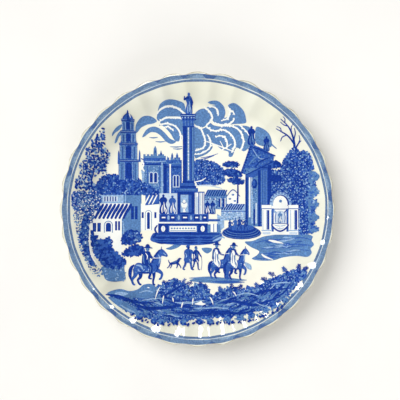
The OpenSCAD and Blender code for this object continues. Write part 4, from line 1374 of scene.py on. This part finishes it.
def foreground():
    """Rocks, roots and low plants along the bottom of the scene."""
    art = Drawing("foreground_print", 2)
    art.foliage([(-85, -82), (-81, -80.6), (-74, -80), (-66, -82.6), (-58, -81), (-50, -76.4), (-42, -76),
            (-30, -72), (-22, -68), (-14, -72), (-6, -76), (2, -73), (9, -76), (14, -84), (22, -79),
            (32, -77), (42, -79), (52, -77), (60, -75.6), (66, -70), (76, -66), (84, -62.6), (92, -59),
            (100, -57.6), (105, -60.6), (100, -67), (93.4, -75), (87, -82.4), (80, -87.8), (72, -91.6),
            (63, -95.6), (53, -99.4), (42, -102.6), (30, -104.4), (20, -105), (8, -106), (-6, -107),
            (-18, -108), (-30, -109), (-40, -108), (-50, -104), (-58, -101), (-66, -99), (-76, -92)], 71,
            ("dark", "blue", "dark", "mid", "blue", "dark", "mid"), base="blue", spacing=2.2,
            specks=("mid", "pale", "dark"))
    art.over()
    # smooth rocks on the left
    art.smooth("mid", [(-87, -81), (-82, -78.4), (-74, -77.4), (-66, -79.6), (-58, -78), (-53, -74),
            (-46, -73), (-41, -76), (-42, -84), (-50, -87), (-60, -86), (-72, -85), (-82, -84)])
    art.smooth("mid", [(-86, -84.6), (-78, -86), (-69, -90), (-60, -96), (-54, -102), (-60, -101.6),
            (-70, -97), (-79, -91)])
    art.over()
    art.stroke("pale", [(-57, -81.6, 0.6), (-50, -79.6, 1.4), (-44, -81, 0.6)])
    art.stroke("white", [(-49, -76.4, 0.6), (-47.4, -76.8, 1.2)])
    art.smooth("pale", [(-80, -81), (-73, -80), (-67, -82), (-72, -83.6), (-78, -83)])
    art.stroke("pale", [(-74, -92, 0.6), (-67, -96.6, 1.8), (-60, -99.6, 0.6)])
    art.over()
    bank = np.array([(-80, -82), (-56, -86), (-36, -84), (-12, -86), (14, -90), (40, -84), (62, -78),
            (80, -68), (98, -62), (96, -72), (84, -84), (68, -94), (44, -102), (10, -104), (-24, -105),
            (-50, -100), (-64, -94)])
    art.strata(bank, ("dark", "dark", "mid", "dark", "blue", "mid", "pale"), 3.6, 74)
    art.over()
    roots = [
        [(-88, -82, 1), (-76, -84, 2.6), (-66, -88, 2.4), (-54, -91, 2), (-40, -90, 0.8)],
        [(-60, -92, 1), (-48, -96, 3.2), (-32, -96, 2.8), (-16, -94, 2), (-4, -96, 0.8)],
        [(-20, -101, 1), (0, -101, 3), (20, -100, 2.6), (40, -101, 2.2), (56, -98, 1)],
        [(20, -92, 1), (36, -90, 2.4), (54, -93, 2.8), (70, -88, 1.6), (80, -84, 0.8)],
        [(50, -86, 0.8), (64, -80, 2.4), (76, -78, 2), (88, -76, 0.8)],
        [(-36, -86, 0.8), (-26, -81, 2.4), (-16, -75, 1.8), (-8, -72, 0.6)],
    ]
    art.strokes("dark", *roots)
    glints = [
        [(-54, -88.6, 0.6), (-44, -87.4, 1.2), (-34, -87, 0.5)],
        [(-22, -91, 0.6), (-8, -91.6, 1.3), (6, -89, 0.5)],
        [(36, -84.6, 0.6), (48, -82, 1.3), (60, -84.6, 0.6)],
        [(56, -90.4, 0.6), (66, -94, 1.2), (74, -92, 0.5)],
        [(6, -97, 0.5), (18, -96, 1.2), (30, -97, 0.5)],
        [(72, -73, 0.6), (82, -71, 1.2), (90, -71, 0.5)],
    ]
    art.strokes("pale", *glints)
    art.over()
    for x, y, length, lean in ((-33.6, -84.6, 7.4, 0.6), (-24, -86.6, 4, -0.4), (-15, -91, 5.4, 0.8),
            (-4.6, -87, 6.4, 0.4), (13.6, -86, 7, -1.6), (36, -80.6, 4, -1.6), (-39, -76, 12, 2.4)):
        art.stroke("white", [(x - lean, y - length, 0.4), (x, y - length / 3, 1.3), (x + lean, y, 0.5)])
    art.smooth("white", [(-3, -92.6), (1, -91), (3.4, -89.6), (5, -91.4), (8, -92.6), (4, -93.8)])
    for tone, x, y, reach, turn in (("dark", -28, -74, 6, 150), ("dark", -24, -74, 6, 40),
            ("blue", -16, -75, 7, 60), ("dark", -12, -74, 6, 20), ("dark", 2, -77, 5, 80),
            ("dark", 9, -79, 5, 110), ("blue", 24, -81, 5, 120), ("dark", 34, -79, 6, 100),
            ("dark", 40, -79, 5, 60), ("blue", 60, -77, 5, 130), ("dark", 69, -69.4, 6, 165),
            ("dark", 76, -64.6, 6, 160), ("blue", 86, -61.6, 5, 120), ("dark", 97, -59, 5, 80),
            ("dark", 101, -59.4, 5, 40)):
        art.sprig(tone, x, y, reach, turn)
    for seed, (x, y) in enumerate(((-56, -103), (-42, -107.6), (-35, -108), (-22, -108.6), (-14, -109),
            (2, -108.6), (12, -108), (29, -105.8), (41, -104.4), (52, -101.4), (65, -96), (73, -92.6),
            (84, -87))):
        clump = turned([(-3.2, 0.8), (-2.4, -2), (0, -3), (2.4, -2), (3.2, 0.8), (0, 2.4)], x, y)
        art.smooth("blue" if seed % 2 else "mid", clump)
        art.over()
        art.scatter(("dark", "blue", "mid", "dark"), clump, 1.7, 1.7, 200 + seed)
    art.fringe("dark", [(-64, -101), (-48, -107.6), (-33, -110.6), (-10, -110.4), (10, -110), (34, -109.6),
            (56, -105), (74, -97.6), (86, -89)], 2.6, 2.4, 73)
    art.fringe("mid", [(20, -108), (40, -106.4), (56, -102), (70, -96.4), (82, -89.4), (92, -80)],
            2.2, 2.2, 75)
    art.lay()


for draw in (clouds, column, plinth, church, hedge, villa, left_tree, left_bush, hill_tree, pine, cottage,
        portico, steps, right_tree, bare_branch, niche, shade, lone_rider, dog, walkers, rider_pair,
        foreground):
    draw()


# ---------------------------------------------------------------- the rim
def ring_piece(node, inner, outer, lobes, tones):
    """A brushed ring on the rim, `lobes` wider in the flutes.

    tones(angle, across) gives each face's tone, with across from 0 to 1."""
    columns, angle = around()
    across = np.linspace(0, 1, 9)
    angles, steps = np.meshgrid(angle, across, indexing="ij")
    inner_r = inner + 0.18 * np.sin(angles * 5 + 1) + 0.1 * np.sin(angles * 19)
    outer_r = outer - 0.1 * (1 + np.sin(angles * 23))
    r = inner_r + (outer_r + lobes * fold(angles) - inner_r) * steps
    x, y = (r * np.cos(angles)).ravel(), (r * np.sin(angles)).ravel()
    z = face_at(x, y) + INK_GAP
    index = np.arange(columns * len(across)).reshape(columns, -1)
    there = np.roll(index, -1, axis=0)
    faces = np.stack([index[:, :-1], index[:, 1:], there[:, 1:], there[:, :-1]], axis=-1).reshape(-1, 4)
    used, picks = tones(angles[:, :-1].ravel(), steps[:, :-1].ravel())
    piece = make_object(node.replace("print", "ink"), np.stack([x, y, z], axis=1), faces.tolist(),
                        [INKS[tone] for tone in used], picks, face_normals(x, y))
    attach(piece, "root")
    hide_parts(node)


def brush_drift(angle):
    """How much more colour than usual the brush left."""
    return 0.3 * np.sin(angle * 5 + 0.4) + 0.22 * np.sin(angle * 13 + 1)


def band_tones(angle, across):
    """Thin towards the well, and pooled beside the ridges, in some flutes more than in others."""
    uneven = brush_drift(angle)
    pooled = (1 - fold(angle)) + uneven + 0.5 * across > 1.15
    thin = fold(angle) + uneven - 1.4 * across > 0.5
    return ["band", "wash", "pool"], np.where(pooled, 2, np.where(thin, 1, 0))


def line_tones(angle, across):
    """The thin line, and the pale blue haze between it and the band, darker in some flutes than in others."""
    line_share = (LINE_OUT - LINE_IN) / (HAZE_OUT - LINE_IN)
    deep = brush_drift(angle) + 0.3 * fold(angle) > 0.38
    return ["line", "haze", "wash"], np.where(across < line_share, 0, np.where(deep, 2, 1))


build_body()
foot = frame["nodes"]["foot_ring"]
foot.data.materials.clear()
foot.data.materials.append(bare_clay_material())
ring_piece("rim_band_print", BAND_IN, BAND_OUT, 0.9, band_tones)
ring_piece("rim_line_print", LINE_IN, HAZE_OUT, 0, line_tones)


# ---------------------------------------------------------------- floor, light and camera
def build_floor():
    """A pale plastered table top."""
    size, cells = 3.0, 24
    side = np.linspace(-size, size, cells + 1)
    x, y = np.meshgrid(side, side, indexing="ij")
    points = np.stack([x.ravel(), y.ravel(), np.zeros(x.size)], axis=1) / MM
    index = np.arange(x.size).reshape(cells + 1, -1)
    faces = np.stack([index[:-1, :-1], index[1:, :-1], index[1:, 1:], index[:-1, 1:]],
            axis=-1).reshape(-1, 4)
    material, nodes, links, shader = new_material("pale floor")
    links.new(ramp(nodes, links, place_noise(nodes, links, 6, detail=3.0), [
        (0.3, srgb(238, 237, 235)), (0.7, srgb(243, 242, 240))]), shader.inputs["Base Color"])
    shader.inputs["Roughness"].default_value = 0.6
    floor = make_object("floor", points, faces.tolist(), [material])


def place_light(name, data, place):
    """Puts a light in the scene, turned towards the plate."""
    light = bpy.data.objects.new(name, data)
    light.location = place
    light.rotation_euler = (light.location - CENTRE).to_track_quat("Z", "Y").to_euler()
    bpy.context.scene.collection.objects.link(light)
    return light


def add_light(name, place, size, power, colour):
    data = bpy.data.lights.new(name, "AREA")
    data.shape = "RECTANGLE"
    data.size, data.size_y = size
    data.energy = power
    data.color = colour
    light = place_light(name, data, place)
    light.visible_camera = False
    return light


def add_daylight(name, place, energy):
    """Broad, soft light that leaves no reflection of its own."""
    sun = bpy.data.lights.new(name, "SUN")
    sun.energy = energy
    sun.angle = math.radians(44)
    sun.color = (1.0, 0.995, 0.98)
    place_light(name, sun, place).visible_glossy = False


low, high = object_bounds()
CENTRE = (low + high) / 2
build_floor()
REACH = RIM_R * MM                      # lights stand at multiples of the plate's radius


def above(turn, lean, distance):
    """A place over the plate: turned from the top of the scene to the left, leaning from the plate's axis."""
    turn, lean = math.radians(turn), math.radians(lean)
    offset = (-math.sin(lean) * math.sin(turn), math.sin(lean) * math.cos(turn), math.cos(lean))
    return CENTRE + Vector(offset) * distance * REACH


window = add_light("window", above(turn=19, lean=41, distance=20), (0.7, 1.4), 70, (1.0, 0.985, 0.96))
window.visible_diffuse = False
shiny = bpy.data.collections.new("lit by the window")
for piece in bpy.context.scene.objects:
    if piece.name in ("plate_clay", "rim_band_ink", "rim_line_ink"):
        shiny.objects.link(piece)
window.light_linking.receiver_collection = shiny
add_daylight("soft_daylight", above(turn=50, lean=42, distance=9), 2.22)
add_daylight("table_bounce", above(turn=180, lean=66, distance=9), 1.1)
world = bpy.data.worlds.new("room")
world.use_nodes = True
world.node_tree.nodes["Background"].inputs["Color"].default_value = srgb(250, 249, 246)
world.node_tree.nodes["Background"].inputs["Strength"].default_value = 0.55
world.cycles_visibility.glossy = False
bpy.context.scene.world = world

camera_data = bpy.data.cameras.new("camera")
camera = bpy.data.objects.new("camera", camera_data)
bpy.context.scene.collection.objects.link(camera)
bpy.context.scene.camera = camera
CAMERA_DISTANCE = 7.0                   # from the rim, in plate radii
PICTURE_WIDTH = 2.892                   # of the frame at the rim, in plate radii
camera_data.angle = 2 * math.atan(PICTURE_WIDTH / 2 / CAMERA_DISTANCE)
camera.location = (0.018 * REACH, 0.067 * REACH, high.z + CAMERA_DISTANCE * REACH)
bpy.context.scene.view_settings.view_transform = "Standard"
